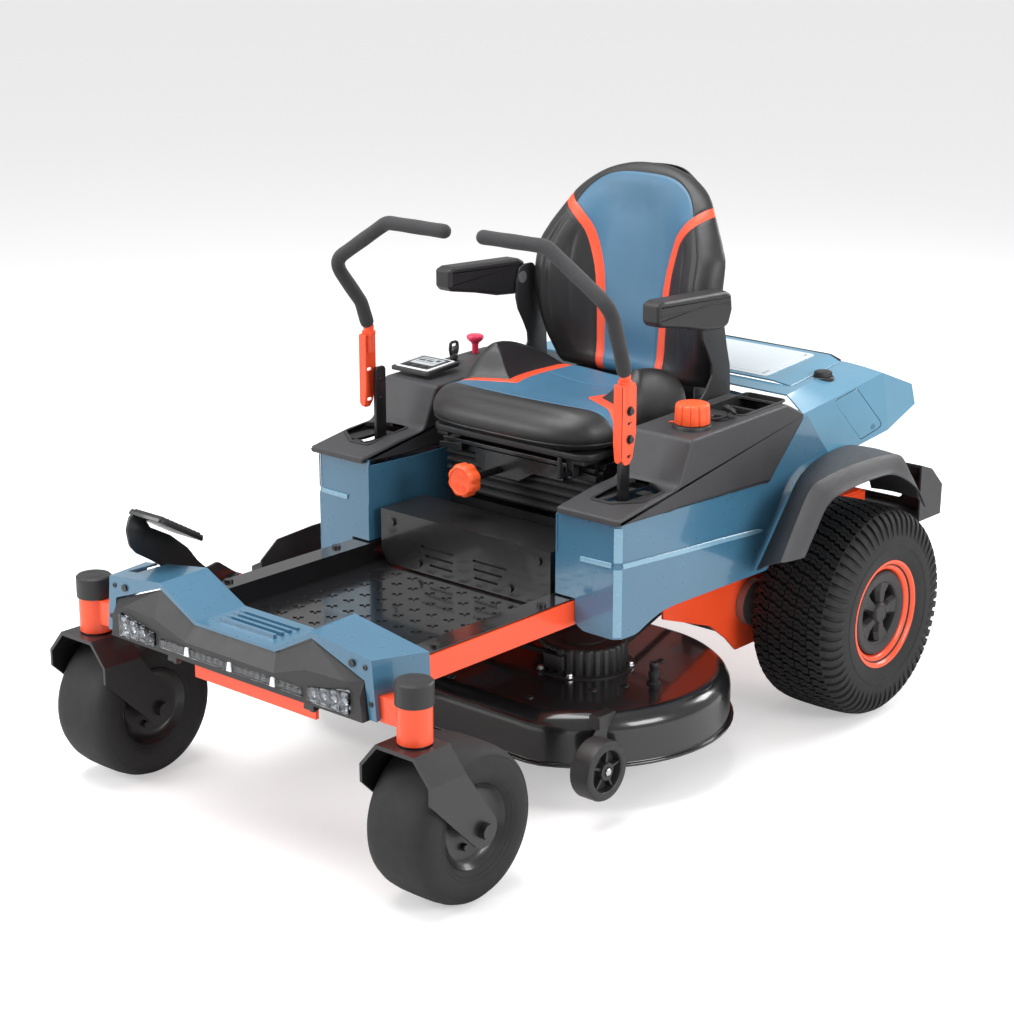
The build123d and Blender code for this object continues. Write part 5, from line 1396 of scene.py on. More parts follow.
# ------------------------------------------------------------------ rear shroud, hood lid, hatch, cap
def shroud():
    st = [-119, -90, -62, -40, -18, 40, 100, 150, 196, 200, 230, 270, 310, 334, 341]
    cols = []
    for d in st:
        bot = interp([(-119, 664.0), (-62, 599.5), (-18, 550), (196, 571.5), (336, 603), (341, 604)], d)
        f1x = interp([(-118, 400), (196, 394), (336, 384), (341, 383)], d)
        f1z = interp([(-118, 665.5), (196, 697), (336, 645.5), (341, 612)], d)
        f2x = interp([(-118, 359), (196, 303), (336, 290), (341, 289)], d)
        f2z = interp([(-118, 700), (196, 707), (336, 651.5), (341, 616)], d)
        bx = interp([(-118, 412), (196, 412), (336, 394.5), (341, 390)], d)
        # the lower edge lies on the side line between its foot and the first fold
        z0 = interp([(-118, 540), (196, 571), (336, 602), (341, 603)], d)
        t = max(0.0, min(0.985, (bot - z0) / (f1z - z0)))
        lx = bx + (f1x - bx) * t
        lz = z0 + (f1z - z0) * t
        half = [(lx, lz), (lx + (f1x - lx) * 0.5, lz + (f1z - lz) * 0.5), (f1x, f1z), (f1x + (f2x - f1x) * 0.5, f1z + (f2z - f1z) * 0.5 + 1.0), (f2x, f2z), (f2x * 0.6, f2z + 2.0)]
        row = [M(x, d, z) for x, z in half] + [M(0, d, f2z + 2.5)] + [M(-x, d, z) for x, z in half[::-1]]
        cols.append(row)
    v = [p for c in cols for p in c]
    m = len(cols[0])
    f = []
    for k in range(len(cols) - 1):
        for i in range(m - 1):
            f.append([k * m + i, k * m + i + 1, (k + 1) * m + i + 1, (k + 1) * m + i])
    o = obj_from("rear_shroud_shell", v, f, 0)
    if sum(p.normal.z for p in o.data.polygons) < 0:
        o.data.flip_normals()
    md = o.modifiers.new("s", "SOLIDIFY")
    md.thickness = 0.0035
    md.offset = -1
    apply_mods(o)
    return o


sh = shroud()
lidcut = prism("lidcut", round_poly([(-327.5, -57), (327.5, -57), (289.5, 192.5), (-289.5, 192.5)], 12, 4), "xy", 690, 740)
boolean(sh, lidcut)


def flank(u, v, w):
    """Point on the left flank's hatch plane: u along the station, v up the flank, w outwards, mm."""
    n = Vector((0.9925, 0, 0.1219))
    up = Vector((-0.1219, 0, 0.9925))
    q = Vector((403.6, 90, 626.5)) + Vector((0, u, 0)) + up * v + n * w
    return M(q.x, q.y, q.z)


dop = round_poly([(-92.6, 45.2), (-0.5, 56.4), (93.0, -42.6), (0.6, -56.8)], [9, 9, 12, 9], 5)
dc = loft("dc", [[flank(u, v, w) for u, v in dop] for w in (-14, 14)])
boolean(sh, dc)
capc = revolve("cc", [(0, -30), (21.5, -30), (21.5, 30), (0, 30)], (330, 57, 704), "z", 40)
boolean(sh, capc)
dress(sh, BLUE_L, "chassis", ("rear_shroud",), bevel=1.3, seg=3, angle=14)
dpp = round_poly([(-90.6, 43.6), (-0.3, 54.6), (91.4, -41.8), (1.1, -55.2)], [8, 8, 11, 8], 5)
dr = loft("hatch_skin", [[flank(u, v, w) for u, v in (offset_poly(dpp, i) if i else dpp)] for w, i in ((-2.4, 0), (-0.7, 0), (-0.1, 0.7))])
notch = loft("nc", [[flank(u, v, w) for u, v in round_poly([(48, -40), (62, -32), (84, -36), (80, -48), (50, -52)], 4, 4)] for w in (-0.9, 4)])
dress(dr, BLUE_L, "access_door", ("access_door",), bevel=0.4, seg=2)
bpy.data.objects.remove(notch)
# black sheet behind the hatch gap: painted shade, so the gap reads dark
ln = loft("hatch_gap_shade_sheet", [[flank(u * 1.06, v * 1.06, w) for u, v in dop] for w in (-9, -7)])
dress(ln, SHADE_SHEET, "chassis", ())
# finger notch rib on the hatch
fn = loft("hatch_notch", [[flank(u, v, w) for u, v in round_poly([(40, -37), (54, -30), (62, -40), (46, -44)], 3, 3)] for w in (-0.6, 0.25)])
dress(fn, BLUE, "access_door", ())

# fuel cap with grip flutes, and its neck ring
N = 120
secs = []
for z, r, fl in ((705.2, 18.6, 0), (705.8, 19.8, 0.3), (713.0, 19.6, 1), (715.0, 18.4, 0.6), (716.0, 16.2, 0), (716.4, 12, 0)):
    secs.append([M(330 + (r - 0.9 * fl * (0.5 + 0.5 * cos(30 * 2 * pi * i / N))) * cos(2 * pi * i / N), 57 + (r - 0.9 * fl * (0.5 + 0.5 * cos(30 * 2 * pi * i / N))) * sin(2 * pi * i / N), z) for i in range(N)])
fcp = loft("fuel_cap_skin", secs)
dress(fcp, BLACK_P, "fuel_cap", ("fuel_cap",))
nk = revolve("fuel_neck", [(0, 690), (24, 690), (24, 703.4), (22.5, 705.0), (20.5, 705.0), (20.2, 700), (0, 700)], (330, 57, 0), "z", 48)
dress(nk, BLACK_P, "chassis", ())


def hood_lid():
    rows = []
    for k in range(13):
        t = k / 12
        d = -55 + 245 * t
        xe = 325 + (287 - 325) * t
        ze = 702.6 + (707.2 - 702.6) * t
        xr = 283 + (258 - 283) * t
        zr = 707.5 + (718.0 - 707.5) * t
        half = [(xe, ze - 3.5), (xe, ze - 0.5), (xe - 1.5, ze + 0.4), (xe - (xe - xr) * 0.9, zr - 0.8), (xr, zr), (xr - 6, zr + 0.5), (xr * 0.6, zr + 1.6)]
        rows.append([M(x, d, z) for x, z in half] + [M(0, d, zr + 2.0)] + [M(-x, d, z) for x, z in half[::-1]])
    v = [p for c in rows for p in c]
    m = len(rows[0])
    f = [[k * m + i, k * m + i + 1, (k + 1) * m + i + 1, (k + 1) * m + i] for k in range(len(rows) - 1) for i in range(m - 1)]
    o = obj_from("hood_skin", v, f, 0)
    if sum(p.normal.z for p in o.data.polygons) < 0:
        o.data.flip_normals()
    md = o.modifiers.new("s", "SOLIDIFY")
    md.thickness = 0.0036
    md.offset = -1
    apply_mods(o)
    return o


def lid_z(x, d):
    t = (d + 55) / 245
    xr, zr = 283 + (258 - 283) * t, 707.5 + (718.0 - 707.5) * t
    return zr + interp([(0, 2.0), (xr * 0.6, 1.6), (xr - 6, 0.5), (xr, 0)], abs(x))


hd = hood_lid()
dress(hd, BLUE_L, "hood_lid", ("hood",), bevel=1.6, seg=3, angle=20)
pl = round_poly([(-250, -44), (250, -44), (236, 168), (-236, 168)], 14, 6)


def drape(name, pts, h0, h1, n=26):
    """Thin plate laid on the lid: pts (x, d), from h0 to h1 above the skin."""
    me_v, me_f = [], []
    xs = [p[0] for p in pts]
    ds = [p[1] for p in pts]
    bm = bmesh.new()
    vs = [bm.verts.new((p[0], p[1], 0)) for p in pts]
    bm.faces.new(vs)
    for k in range(1, n):
        x = min(xs) + (max(xs) - min(xs)) * k / n
        bmesh.ops.bisect_plane(bm, geom=bm.verts[:] + bm.edges[:] + bm.faces[:], plane_co=(x, 0, 0), plane_no=(1, 0, 0))
    for k in range(1, 6):
        y = min(ds) + (max(ds) - min(ds)) * k / 6
        bmesh.ops.bisect_plane(bm, geom=bm.verts[:] + bm.edges[:] + bm.faces[:], plane_co=(0, y, 0), plane_no=(0, 1, 0))
    r = bmesh.ops.extrude_face_region(bm, geom=bm.faces[:])
    up = set(g for g in r["geom"] if isinstance(g, bmesh.types.BMVert))
    for v in bm.verts:
        h = h1 if v in up else h0
        q = M(v.co.x, v.co.y, lid_z(v.co.x, v.co.y) + h)
        v.co = q
    bmesh.ops.recalc_face_normals(bm, faces=bm.faces)
    me = bpy.data.meshes.new(name)
    bm.to_mesh(me)
    bm.free()
    me.shade_smooth()
    me.set_sharp_from_angle(angle=radians(35))
    o = bpy.data.objects.new(name, me)
    bpy.context.scene.collection.objects.link(o)
    return o


pt = drape("hood_plate", pl, -0.5, 1.7)
dress(pt, PALE, "hood_lid", (), bevel=0.6, seg=2)
pt2 = drape("hood_plate_border", offset_poly(pl, 16), 1.2, 2.1)
dress(pt2, PALE, "hood_lid", (), bevel=0.4, seg=2)
# black seal along the lid's rear edge and its two hinges
tr = tube("lid_rear_trim", [(x, 193.5, 707 + interp([(0, 12), (258, 10), (287, 0.5)], abs(x))) for x in range(-284, 285, 8)], 3.0, 8)
dress(tr, RUBBER, "hood_lid", ())
for s in (-1, 1):
    hg = revolve("hood_hinge", [(0, s * 120), (4, s * 120), (4, s * 170), (0, s * 170)], (0, 206.5, 710.5), "x", 20)
    hg.name = ("left" if s > 0 else "right") + "_hood_hinge"
    dress(hg, BLACK_S, "chassis", ())


# ------------------------------------------------------------------ front fascia and lamps
def fascia():
    """Faceted black front, mirrored about the centre line; (x, station, z)."""
    half = {
        "b0": (0, -1364, 337.5), "b1": (341, -1361, 337.5), "b2": (345.5, -1356, 340),
        "r1": (334.5, -1347, 409.5), "t2": (205, -1347, 456.4), "t1": (109.3, -1347, 408.0), "t0": (0, -1347, 408.0),
        "A": (205, -1367, 404), "V": (121, -1366, 377), "C0": (0, -1366, 377), "W": (300, -1361.5, 405), "Q": (335, -1362, 380),
    }
    tri = [("t0", "t1", "V", "C0"), ("t1", "t2", "A", "V"), ("t2", "W", "A"), ("t2", "r1", "W"), ("r1", "Q", "W"), ("r1", "b2", "Q"),
           ("C0", "V", "b0"), ("V", "A", "b0"), ("A", "W", "Q", "b1", "b0"), ("Q", "b2", "b1")]
    v, f, idx = [], [], {}

    def put(k, s, back=False):
        key = (k, s if half[k][0] else 1, back)
        if key not in idx:
            x, d, z = half[k]
            idx[key] = len(v)
            v.append(M(s * x, -1344 if back else d, z))
        return idx[key]
    ring = ["b0", "b1", "b2", "r1", "t2", "t1", "t0"]
    for s in (1, -1):
        for t in tri:
            f.append([put(k, s) for k in t])
        for a, b in zip(ring, ring[1:]):
            f.append([put(a, s), put(b, s), put(b, s, True), put(a, s, True)])
        f.append([put(k, s, True) for k in ring])
    return obj_from("fascia_shell", v, f, 0)


fa = fascia()
cuts = []
for s in (-1, 1):
    cuts.append(prism("lc", round_poly([(s * 207.5, 345.5), (s * 312.5, 345.5), (s * 312.5, 392), (s * 207.5, 373)], 4, 4), "xz", -1380, -1354))
cuts.append(prism("bc", round_poly([(-194, 348.5), (194, 348.5), (194, 366.5), (-194, 366.5)], 4, 4), "xz", -1380, -1356))
boolean(fa, cuts)
dress(fa, BLACK_P, "chassis", ("front_fascia",), bevel=1.3, seg=3, angle=9)

lamp_bits, led_bits, glass_bits = [], [], []
for s in (-1, 1):
    # reflector tray: stepped pockets between the four emitters
    pk = prism("tray", round_poly([(s * 208, 346), (s * 312, 346), (s * 312, 391.5), (s * 208, 372.5)], 4, 4), "xz", -1355.5, -1354.2)
    lamp_bits.append(pk)
    for k in range(4):
        cx = s * (221.5 + 25.6 * k)
        cz = 361.5 + 1.6 * k
        cup = revolve("cup", [(3.5, 8.0), (7.5, 5.6), (9.8, 2.0), (10.2, 0.0), (11.0, 0.0), (11.0, 9.0), (3.5, 9.0)], (cx, -1364.5, cz), "y", 28)
        lamp_bits.append(cup)
        led = revolve("led", [(0, 2.4), (1.8, 2.7), (3.2, 4.0), (3.6, 6.0), (3.6, 9.4), (0, 9.4)], (cx, -1364.5, cz), "y", 20)
        led_bits.append(led)
        for w in (0, 1):
            z0, z1 = (347, 352) if w == 0 else (371.5 + 1.6 * k, 374.0 + 3.2 * k)
            lamp_bits.append(prism("facet", [(cx - 9, z0), (cx + 9, z0), (cx + 6, z1), (cx - 6, z1)], "xz", -1362.5, -1355))
        if k:
            xx = cx - s * 12.8
            lamp_bits.append(prism("rib", [(xx - 0.7, 347), (xx + 0.7, 347), (xx + 0.7, 372 + 3.6 * k), (xx - 0.7, 372 + 3.6 * k)], "xz", -1364.0, -1355))
    g = puffy("lens", round_poly([(s * 207.8, 345.8), (s * 312.2, 345.8), (s * 312.2, 391.7), (s * 207.8, 372.7)], 4, 4), "xz", -1367.0, -1365.2, 0.6, 2)
    glass_bits.append(g)
lb = prism("lb", round_poly([(-193.5, 349), (193.5, 349), (193.5, 366), (-193.5, 366)], 4, 4), "xz", -1358.2, -1356.8)
barb = []
for k in range(24):
    x0 = -186 + 16.2 * k
    barb.append(prism("cell", [(x0 - 6.5, 352), (x0 + 6.5, 352), (x0 + 4.5, 363), (x0 - 4.5, 363)], "xz", -1361.5, -1358))
bar = join("bar", [lb] + barb)
gl = puffy("barlens", round_poly([(-193.6, 349), (193.6, 349), (193.6, 366), (-193.6, 366)], 4, 4), "xz", -1366.2, -1364.6, 0.6, 2)
glass_bits.append(gl)
for x in (-116, 2, 118):
    led_bits.append(puffy("clip", round_poly([(x - 7, 350), (x + 7, 350), (x + 5, 368), (x - 3, 368)], 1.5, 3), "xz", -1368.0, -1364, 0.8, 2))
refl = join("lamp_reflectors", lamp_bits)
dress(refl, MIRROR, "chassis", ("front_lights",))
dress(bar, BLACK_G, "chassis", ())
bar.name = "light_bar_cells"
leds = join("lamp_emitters", led_bits)
dress(leds, LED, "chassis", ())
gls = join("lamp_lenses", glass_bits)
dress(gls, GLASS, "chassis", ())

# black clips under the light bar
for nm, x in (("left", 205), ("right", -165)):
    cl = puffy("cl", round_poly([(x - 14, 326), (x + 14, 326), (x + 14, 340), (x - 10, 340)], 3, 3), "xz", -1362, -1346, 2.0, 3)
    bt = revolve("bt", [(0, -5), (6, -5), (7.5, -3.5), (7.5, 0), (0, 0)], (x + 4, -1352, 327), "z", 6)
    j = join(nm + "_lower_clip", [cl, bt])
    dress(j, BLACK_S, "chassis", (), bevel=0.6, seg=2)

# two countersunk screws at each end of the cover
scr = []
for s in (-1, 1):
    for x, z in ((339, 437), (352, 372)):
        scr.append(revolve("sc", [(0, 1.2), (1.6, 1.2), (1.8, 0.2), (4.4, 0.0), (5.2, 1.2), (5.2, 3.0), (0, 3.0)], (s * x, -1352.2, z), "y", 18))
sc = join("cover_screws", scr)
dress(sc, BLACK_S, "chassis", ())

# rings of five dimples on the caster caps
for s, side in ((1, "left"), (-1, "right")):
    bits = []
    for k in range(5):
        a = 2 * pi * k / 5 + 0.3
        bits.append(revolve("d", [(0, 0.9), (2.6, 0.7), (3.2, 0.0), (3.2, -1.5), (0, -1.5)], (s * 433.4 + 24 * cos(a), -1326.4 + 24 * sin(a), 431.4), "z", 12))
    ringp = revolve("r", [(15, -1), (15, 0.6), (16.5, 0.9), (18, 0.6), (18, -1)], (s * 433.4, -1326.4, 431.6), "z", 40)
    j = join(side + "_cap_studs", bits + [ringp])
    dress(j, BLACK_P, "chassis", ())


# ------------------------------------------------------------------ cutter deck
def deck_loop(r, z, n=30, e=0.0):
    """Outline of the two-lobe deck offset to radius r, flat at the front."""
    pts = []
    for k in range(n + 1):
        a = -pi / 2 + pi * k / n
        pts.append((200 + r * cos(a), -588 + r * sin(a)))
    for k in range(n + 1):
        a = pi / 2 + pi * k / n
        pts.append((-200 + r * cos(a), -588 + r * sin(a)))
    lim = -870 + (302 - r)
    return [M(x, max(d, lim), z) for x, d in pts]


secs = [deck_loop(268, 196.5), deck_loop(280, 193), deck_loop(291, 184), deck_loop(297, 172), deck_loop(299, 160), deck_loop(299, 95.2),
        deck_loop(308.6, 95.2), deck_loop(309.8, 97), deck_loop(309.8, 99.4), deck_loop(308.6, 101), deck_loop(304.0, 101.4), deck_loop(302, 104), deck_loop(302, 162)]
for k in range(1, 9):
    t = pi / 2 * k / 8
    secs.append(deck_loop(302 - 36 * (1 - cos(t)), 162 + 38 * sin(t)))
dk = loft("deck_body", secs)
# opening cut in the right-hand skirt for the discharge chute
side_cut = box("sc", -700, -430, -700, -480, 104, 184)
boolean(dk, side_cut)
dress(dk, BLACK_G, "deck", ("deck_shell",))
dk.data.shade_smooth()
dk.data.set_sharp_from_angle(angle=radians(40))
wn = dk.modifiers.new("wn", "WEIGHTED_NORMAL")
wn.keep_sharp = True

# opening flange, centre wall, spindle housings, hangers
bits = []
bits.append(prism("fl", [(-430, 104), (-505, 104), (-505, 186), (-430, 186)], "xz", -702, -699))
bits.append(prism("fl", [(-430, 104), (-505, 104), (-505, 186), (-430, 186)], "xz", -481, -478))
for d in (-842, -335):
    bits.append(box("w", -4, 4, d - 42, d + 42, 120, 196))
for s in (-1, 1):
    bits.append(revolve("h", [(15.5, 172), (46, 172), (48, 176), (52, 196), (15.5, 196)], (s * 205, -592, 0), "z", 48))
for d in (-723, -457):
    e = puffy("ear", round_poly([(-515, 182), (-515, 197), (-503, 201), (-462, 200), (-462, 160), (-500, 170)], [6, 8, 8, 3, 3, 10], 4), "xz", d - 3, d + 3, 0.8, 2)
    bits.append(e)
br = puffy("br", round_poly([(-760, 178), (-760, 130), (-850, 104), (-870, 112), (-868, 132), (-815, 180)], [4, 10, 14, 12, 10, 12], 4), "yz", 420.5, 426, 0.8, 2)
bits.append(br)
bits.append(revolve("ax", [(0, -28), (9, -28), (9, 25), (0, 25)], (449, -850, 120), "x", 24))
bits.append(puffy("br2", round_poly([(400, 176), (426, 176), (426, 204), (400, 204)], 3, 3), "xz", -812, -762, 1.0, 2))
deckb = join("deck_brackets", bits)
dress(deckb, BLACK_S, "deck", (), bevel=0.8, seg=2)
# wash-out nozzle
nz = revolve("washout_port", [(4.5, 196), (4.5, 244), (8.6, 245), (9.6, 243), (9.6, 236), (8.2, 234), (8.2, 226), (11.5, 224), (11.5, 214), (9.0, 212), (9.0, 206), (15, 203), (15, 199.5), (4.5, 196)], (385, -590, 0), "z", 28)
dress(nz, BLACK_P, "deck", ())
# carriage bolts on the deck top
hd_b = []
for x, d in ((318, -700), (352, -640), (318, -480), (-318, -700), (-318, -480), (60, -830), (-60, -830), (60, -350), (-60, -350), (250, -812), (-250, -812)):
    hd_b.append(revolve("cb", [(0, 4.0), (3.5, 3.7), (6.5, 2.3), (8.2, 0.4), (8.6, -0.6), (0, -1)], (x, d, 200.2), "z", 18))
cbj = join("deck_bolts", hd_b)
dress(cbj, BLACK_S, "deck", ())


# ribbed drums over the spindles
def drum(s):
    N = 28 * 12
    rings = []
    for z, r, fl in ((200.4, 88.5, 0.8), (201.2, 90, 1), (251, 90, 1), (254.8, 88.2, 0.8), (257.0, 84.0, 0.3), (257.4, 80, 0)):
        row = []
        for i in range(N):
            a = 2 * pi * i / N
            w = (0.5 + 0.5 * cos(28 * a)) ** 3
            rr = r - 3.6 * fl * w
            row.append(M(s * 205 + rr * cos(a), -592 + rr * sin(a), z))
        rings.append(row)
    for z, r in ((255.6, 78), (255.6, 46), (257.6, 44), (257.6, 30)):
        rings.append([M(s * 205 + r * cos(2 * pi * i / N), -592 + r * sin(2 * pi * i / N), z) for i in range(N)])
    inner = [[M(s * 205 + r * cos(2 * pi * i / N), -592 + r * sin(2 * pi * i / N), z) for i in range(N)] for z, r in ((252.5, 30), (252.5, 82), (200.4, 83.5))]
    o = loft("drum", inner[::-1] + rings if False else inner + rings, caps=False)
    # inner cap and outer cap
    bm = bmesh.new()
    bm.from_mesh(o.data)
    bmesh.ops.holes_fill(bm, edges=[e for e in bm.edges if e.is_boundary], sides=0)
    bmesh.ops.recalc_face_normals(bm, faces=bm.faces)
    bm.to_mesh(o.data)
    bm.free()
    return o


for s, side in ((1, "left"), (-1, "right")):
    N = 28 * 12
    # closed cup: outer wall, dished lid, inner wall
    prof_rows = []
    spec = [("i", 200.4, 83.0, 0), ("i", 252.0, 83.0, 0), ("i", 252.0, 2.0, 0)]
    rows = []
    for z, r, fl in ((252.4, 1.5, 0), (252.4, 82.5, 0), (200.4, 83.0, 0), (200.2, 88.8, 0.8), (201.2, 90.0, 1), (250.5, 90.0, 1), (254.6, 88.4, 0.8), (257.0, 84.5, 0.3), (257.4, 80, 0), (255.4, 77.5, 0), (255.4, 47, 0), (257.5, 45, 0), (257.5, 1.5, 0)):
        row = []
        for i in range(N):
            a = 2 * pi * i / N
            w = (0.5 + 0.5 * cos(28 * a)) ** 3
            rr = r - 3.6 * fl * w
            row.append(M(s * 205 + rr * cos(a), -592 + rr * sin(a), z))
        rows.append(row)
    dm = loft(side + "_spindle_drum", rows)
    cuts = [box("c1", s * 150 - 55, s * 150 + 55, -690, -480, 211, 249), box("c2", s * 200 - 75, s * 200 + 75, -540, -470, 211, 249)]
    boolean(dm, cuts)
    em = puffy("em", round_poly([(s * 205 - 26, -690), (s * 205 + 26, -690), (s * 205 + 22, -676), (s * 205 - 22, -676)], 3, 3), "xy", 214, 244, 1.2, 2)
    ba = revolve("ba", [(88, 199.9), (104, 199.9), (104, 202.4), (101, 203.4), (91, 203.8), (88, 203.8)], (s * 205, -592, 0), "z", 72)
    j = join(side + "_spindle_drum", [dm, em, ba])
    dress(j, BLACK_P, "deck", ("spindle_covers",) if s > 0 else (), bevel=0)
    j.data.shade_smooth()
    j.data.set_sharp_from_angle(angle=radians(42))
    bts = join(side + "_drum_bolts", [revolve("b", [(0, 7.5), (5.4, 7.5), (6.4, 6.4), (6.4, 1.4), (9.5, 1.2), (9.5, 0), (0, 0)], (s * 205 + 97 * cos(a), -592 + 97 * sin(a), 202.6), "z", 6) for a in (0.5, 2.6, -1.57 + 0.4, -1.57 - 0.4)])
    dress(bts, STEEL, "deck", ())

# anti-scalp wheel: smooth tyre, deep dish, five spokes
wp = [(8.6, 431), (14, 431), (40, 432), (52, 431), (57.5, 433), (60, 438), (60, 472), (57.5, 477.5), (52, 480), (44, 479.5), (41, 477), (39, 462), (18, 462), (17.5, 478), (9.5, 479), (8.6, 477)]
aw = revolve("aw", [(r, a - 455) for r, a in wp] + [(8.6, 431 - 455)], (455, -850, 120), "x", 64)
sp = []
for k in range(5):
    a = 2 * pi * k / 5 + 0.2
    ca, sa = cos(a), sin(a)
    pts = []
    for r, w in ((15, -3.2), (41, -2.2), (41, 2.2), (15, 3.2)):
        pts.append((-850 + r * ca - w * sa, 120 + r * sa + w * ca))
    sp.append(prism("s", pts, "yz", 460, 474))
awj = join("antiscalp_roller", [aw] + sp)
dress(awj, BLACK_P, "antiscalp_wheel", ("antiscalp_wheel",), bevel=0.8, seg=2, angle=35)
awn = revolve("antiscalp_bolt", [(0, 482.5 - 455), (6, 482.5 - 455), (8, 480.8 - 455), (8, 478 - 455), (0, 478 - 455)], (455, -850, 120), "x", 6)
dress(awn, STEEL, "deck", ())


# ------------------------------------------------------------------ suspension: folded bellows, folded plates, knob
def rrect(hx, hd, cd, r, z, n=6):
    pts = round_poly([(-hx, cd - hd), (hx, cd - hd), (hx, cd + hd), (-hx, cd + hd)], r, n)
    return [M(x, d, z) for x, d in pts]


fold = []
NF = 5
for k in range(NF):
    z0 = 480.5 + 92.5 * k / NF
    hgt = 92.5 / NF
    for t, o_ in ((0.0, 0.0), (0.10, 3.5), (0.24, 7.4), (0.40, 9.6), (0.5, 10.0), (0.60, 9.6), (0.76, 7.4), (0.90, 3.5)):
        fold.append((212.0 + o_, z0 + hgt * t))
fold.append((212.0, 573.0))
secs = [rrect(hx, hx - 222 + 175, -370, 14, z) for hx, z in fold]
inn = [rrect(hx - 2.4, hx - 222 + 175 - 2.4, -370, 12, z) for hx, z in fold[::-1]]
bl = loft("bellows_skin", secs + inn + [secs[0]], caps=False)
dress(bl, RUBBER, "chassis", ("bellows",))
bl.data.shade_smooth()
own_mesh(bl)

# stacked folded plates under the seat
plates = []
plates.append(puffy("pp", round_poly([(-207, 594), (207, 594), (207, 603), (-207, 603)], 2, 3), "xz", -566, -552.5, 1.5, 3))
for s in (-1, 1):
    plates.append(puffy("ps", round_poly([(-548, 597), (-190, 597), (-190, 611), (-540, 611)], 3, 3), "yz", s * 200.5, s * 216.5, 1.2, 2))
    plates.append(puffy("pt", round_poly([(s * 150, 578), (s * 214, 578), (s * 214, 590), (s * 150, 596)], 3, 3), "xz", -570, -553, 1.2, 2))
pj = join("suspension_plates", plates)
dress(pj, BLACK_S, "suspension", (), bevel=0.6, seg=2)

NK = 8 * 16
rows = []
for d, r, fl in ((-651, 8, 0), (-651, 27, 0), (-652.5, 31.5, 0.7), (-655.5, 34.6, 1), (-676, 35.6, 1), (-680.5, 34.0, 1), (-682.6, 30.5, 0.5), (-683.0, 27.5, 0), (-681.4, 25.8, 0), (-681.0, 6, 0), (-681.0, 1, 0)):
    row = []
    for i in range(NK):
        a = 2 * pi * i / NK
        w = (0.5 + 0.5 * cos(8 * a)) ** 2
        kn = 0.5 * abs(sin(32 * a)) * fl
        rr = r - 2.6 * fl * w - kn
        row.append(M(-52 + rr * cos(a), d, 555 + rr * sin(a)))
    rows.append(row)
kb = loft("kb", rows)
marks = []
for r0, r1 in ((9.5, 12.0), (15.0, 17.5), (20.5, 23.0)):
    for a0 in (0.5, 3.65):
        prof = []
        na = 14
        ring_ = []
        for k in range(na + 1):
            a = a0 + 1.9 * k / na
            ring_.append((-52 + r1 * cos(a), 555 + r1 * sin(a)))
        for k in range(na, -1, -1):
            a = a0 + 1.9 * k / na
            ring_.append((-52 + r0 * cos(a), 555 + r0 * sin(a)))
        marks.append(prism("mk", ring_, "xz", -682.2, -680.5))
knob = join("suspension_dial", [kb] + marks)
dress(knob, DIAL_O, "suspension_knob", ("suspension_knob",))
knob.data.set_sharp_from_angle(angle=radians(38))
ksh = revolve("suspension_shaft", [(0, -651), (13, -651), (14.5, -648), (14.5, -640), (8.0, -636), (8.0, -552), (0, -552)], (-52, 0, 555), "y", 32)
dress(ksh, BLACK_S, "suspension_knob", ())

# lift pedal: broad plate arm, sloping foot plate with a ribbed pad
ARMP = [(-1050, 354), (-1085, 372), (-1120, 378), (-1180, 410), (-1238, 448), (-1262, 466), (-1300, 490), (-1315, 508), (-1321, 540), (-1313, 564), (-1303, 572),
        (-1276, 556), (-1264, 535), (-1215, 508), (-1172, 472), (-1148, 440), (-1125, 418), (-1095, 424), (-1062, 400), (-1045, 388)]
pa = [puffy("pa", round_poly(ARMP, [6, 20, 30, 40, 40, 30, 24, 18, 24, 12, 4, 4, 6, 40, 40, 30, 14, 14, 14, 10], 4), "yz", -336.2, -329.8, 1.2, 2),
      revolve("hb", [(9.96, 345.0), (9.96, 320), (18, 320), (18, 345), (9.96, 345)], (-665, -1050, 372), "x", 40)]


def foot(u, v, w):
    """u across, v along the plate (to the rear), w above it."""
    c, q = cos(radians(30.5)), sin(radians(30.5))
    return M(-299 + u, -1250 + v * c + w * q, 541 - v * q + w * c)


fp = round_poly([(-49, -62), (49, -62), (49, 62), (-49, 62)], [10, 10, 10, 10], 5)
pa.append(loft("fp", [[foot(u, v, w) for u, v in (offset_poly(fp, i) if i else fp)] for w, i in ((-4, 1.2), (-3, 0), (3, 0), (4, 1.2))]))
paj = join("pedal_arm", pa)
dress(paj, BLACK_S, "lift_pedal", ("lift_pedal",))
pd = [loft("pd", [[foot(u, v, w) for u, v in (offset_poly(fp, i) if i else fp)] for w, i in ((3.6, 1.5), (6.4, 1.5), (7.4, 2.6))])]
for k in range(9):
    v0 = -50 + 12.5 * k
    rb = round_poly([(-42, v0 - 2.6), (42, v0 - 2.6), (42, v0 + 2.6), (-42, v0 + 2.6)], 2.0, 3)
    pd.append(loft("rib", [[foot(u, v, w) for u, v in (offset_poly(rb, i) if i else rb)] for w, i in ((7.0, 0), (9.4, 0.2), (10.2, 0.9))]))
pdj = join("pedal_pad", pd)
dress(pdj, RUBBER, "lift_pedal", ())


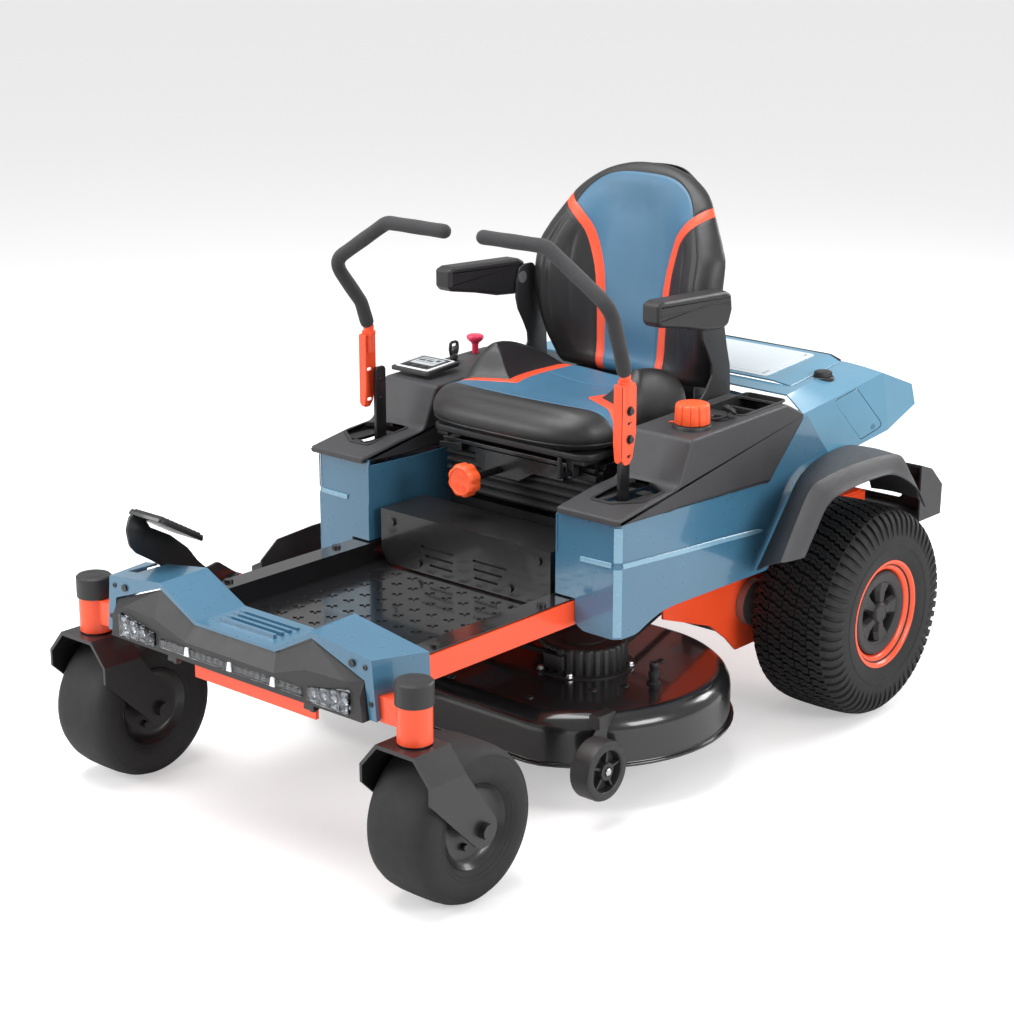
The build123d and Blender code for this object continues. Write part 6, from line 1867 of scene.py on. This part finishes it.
# ------------------------------------------------------------------ stage
fl_m, nt_, bs_ = new_mat("studio_floor")
tcf = nt_.nodes.new("ShaderNodeTexCoord")
nzf = nt_.nodes.new("ShaderNodeTexNoise")
nzf.inputs["Scale"].default_value = 30
mrf = nt_.nodes.new("ShaderNodeMapRange")
mrf.inputs["To Min"].default_value, mrf.inputs["To Max"].default_value = 0.72, 0.80
nt_.links.new(tcf.outputs["Object"], nzf.inputs["Vector"])
nt_.links.new(nzf.outputs["Fac"], mrf.inputs["Value"])
nt_.links.new(mrf.outputs[0], bs_.inputs["Roughness"])
bs_.inputs["Base Color"].default_value = (0.74, 0.74, 0.74, 1)
lpf = nt_.nodes.new("ShaderNodeLightPath")
mlf = nt_.nodes.new("ShaderNodeMath")
mlf.operation = "MULTIPLY"
mlf.inputs[1].default_value = 0.40
nt_.links.new(lpf.outputs["Is Camera Ray"], mlf.inputs[0])
bs_.inputs["Emission Color"].default_value = (1, 1, 1, 1)
nt_.links.new(mlf.outputs[0], bs_.inputs["Emission Strength"])
bm = bmesh.new()
bmesh.ops.create_grid(bm, x_segments=8, y_segments=8, size=60.0)
me = bpy.data.meshes.new("studio_floor")
bm.to_mesh(me)
bm.free()
flo = bpy.data.objects.new("studio_floor", me)
bpy.context.scene.collection.objects.link(flo)
flo.data.materials.append(fl_m)
flo.location = (0, 0, 0.0)


def light(name, loc, target, size, power, col=(1, 1, 1)):
    L = bpy.data.lights.new(name, "AREA")
    L.shape = "RECTANGLE"
    L.size, L.size_y = size
    L.energy = power
    L.color = col
    o = bpy.data.objects.new(name, L)
    bpy.context.scene.collection.objects.link(o)
    o.location = loc
    v = Vector(target) - Vector(loc)
    o.rotation_euler = v.to_track_quat("-Z", "Y").to_euler()
    return o


light("key_top", (-0.6, -0.9, 4.4), (0, 0, 0.4), (3.0, 3.0), 190)
light("front_soft", (-2.6, -3.9, 2.2), (0, -0.3, 0.5), (2.4, 1.6), 110)
light("side_soft", (4.6, -0.2, 2.1), (0, 0.2, 0.5), (2.2, 1.4), 105)
light("rear_rim", (1.2, 4.2, 2.6), (0, 0.4, 0.7), (2.8, 1.2), 110)
w = bpy.data.worlds.new("studio")
w.use_nodes = True
wt = w.node_tree
bg = wt.nodes["Background"]
lp = wt.nodes.new("ShaderNodeLightPath")
mr_ = wt.nodes.new("ShaderNodeMapRange")
mr_.inputs["To Min"].default_value, mr_.inputs["To Max"].default_value = 0.55, 0.99
wt.links.new(lp.outputs["Is Camera Ray"], mr_.inputs["Value"])
wt.links.new(mr_.outputs[0], bg.inputs[1])
bg.inputs[0].default_value = (1.0, 1.0, 1.0, 1)
bpy.context.scene.world = w
bpy.context.scene.view_settings.view_transform = "Standard"

cam_d = bpy.data.cameras.new("camera")
cam_d.sensor_width = 36
cam_d.lens = 79.36
cam_o = bpy.data.objects.new("camera", cam_d)
bpy.context.scene.collection.objects.link(cam_o)
cam_o.location = (2.9209, -3.4068, 1.8064)
cam_o.rotation_euler = (radians(90 - 16.589), 0, radians(41.434))
bpy.context.scene.camera = cam_o
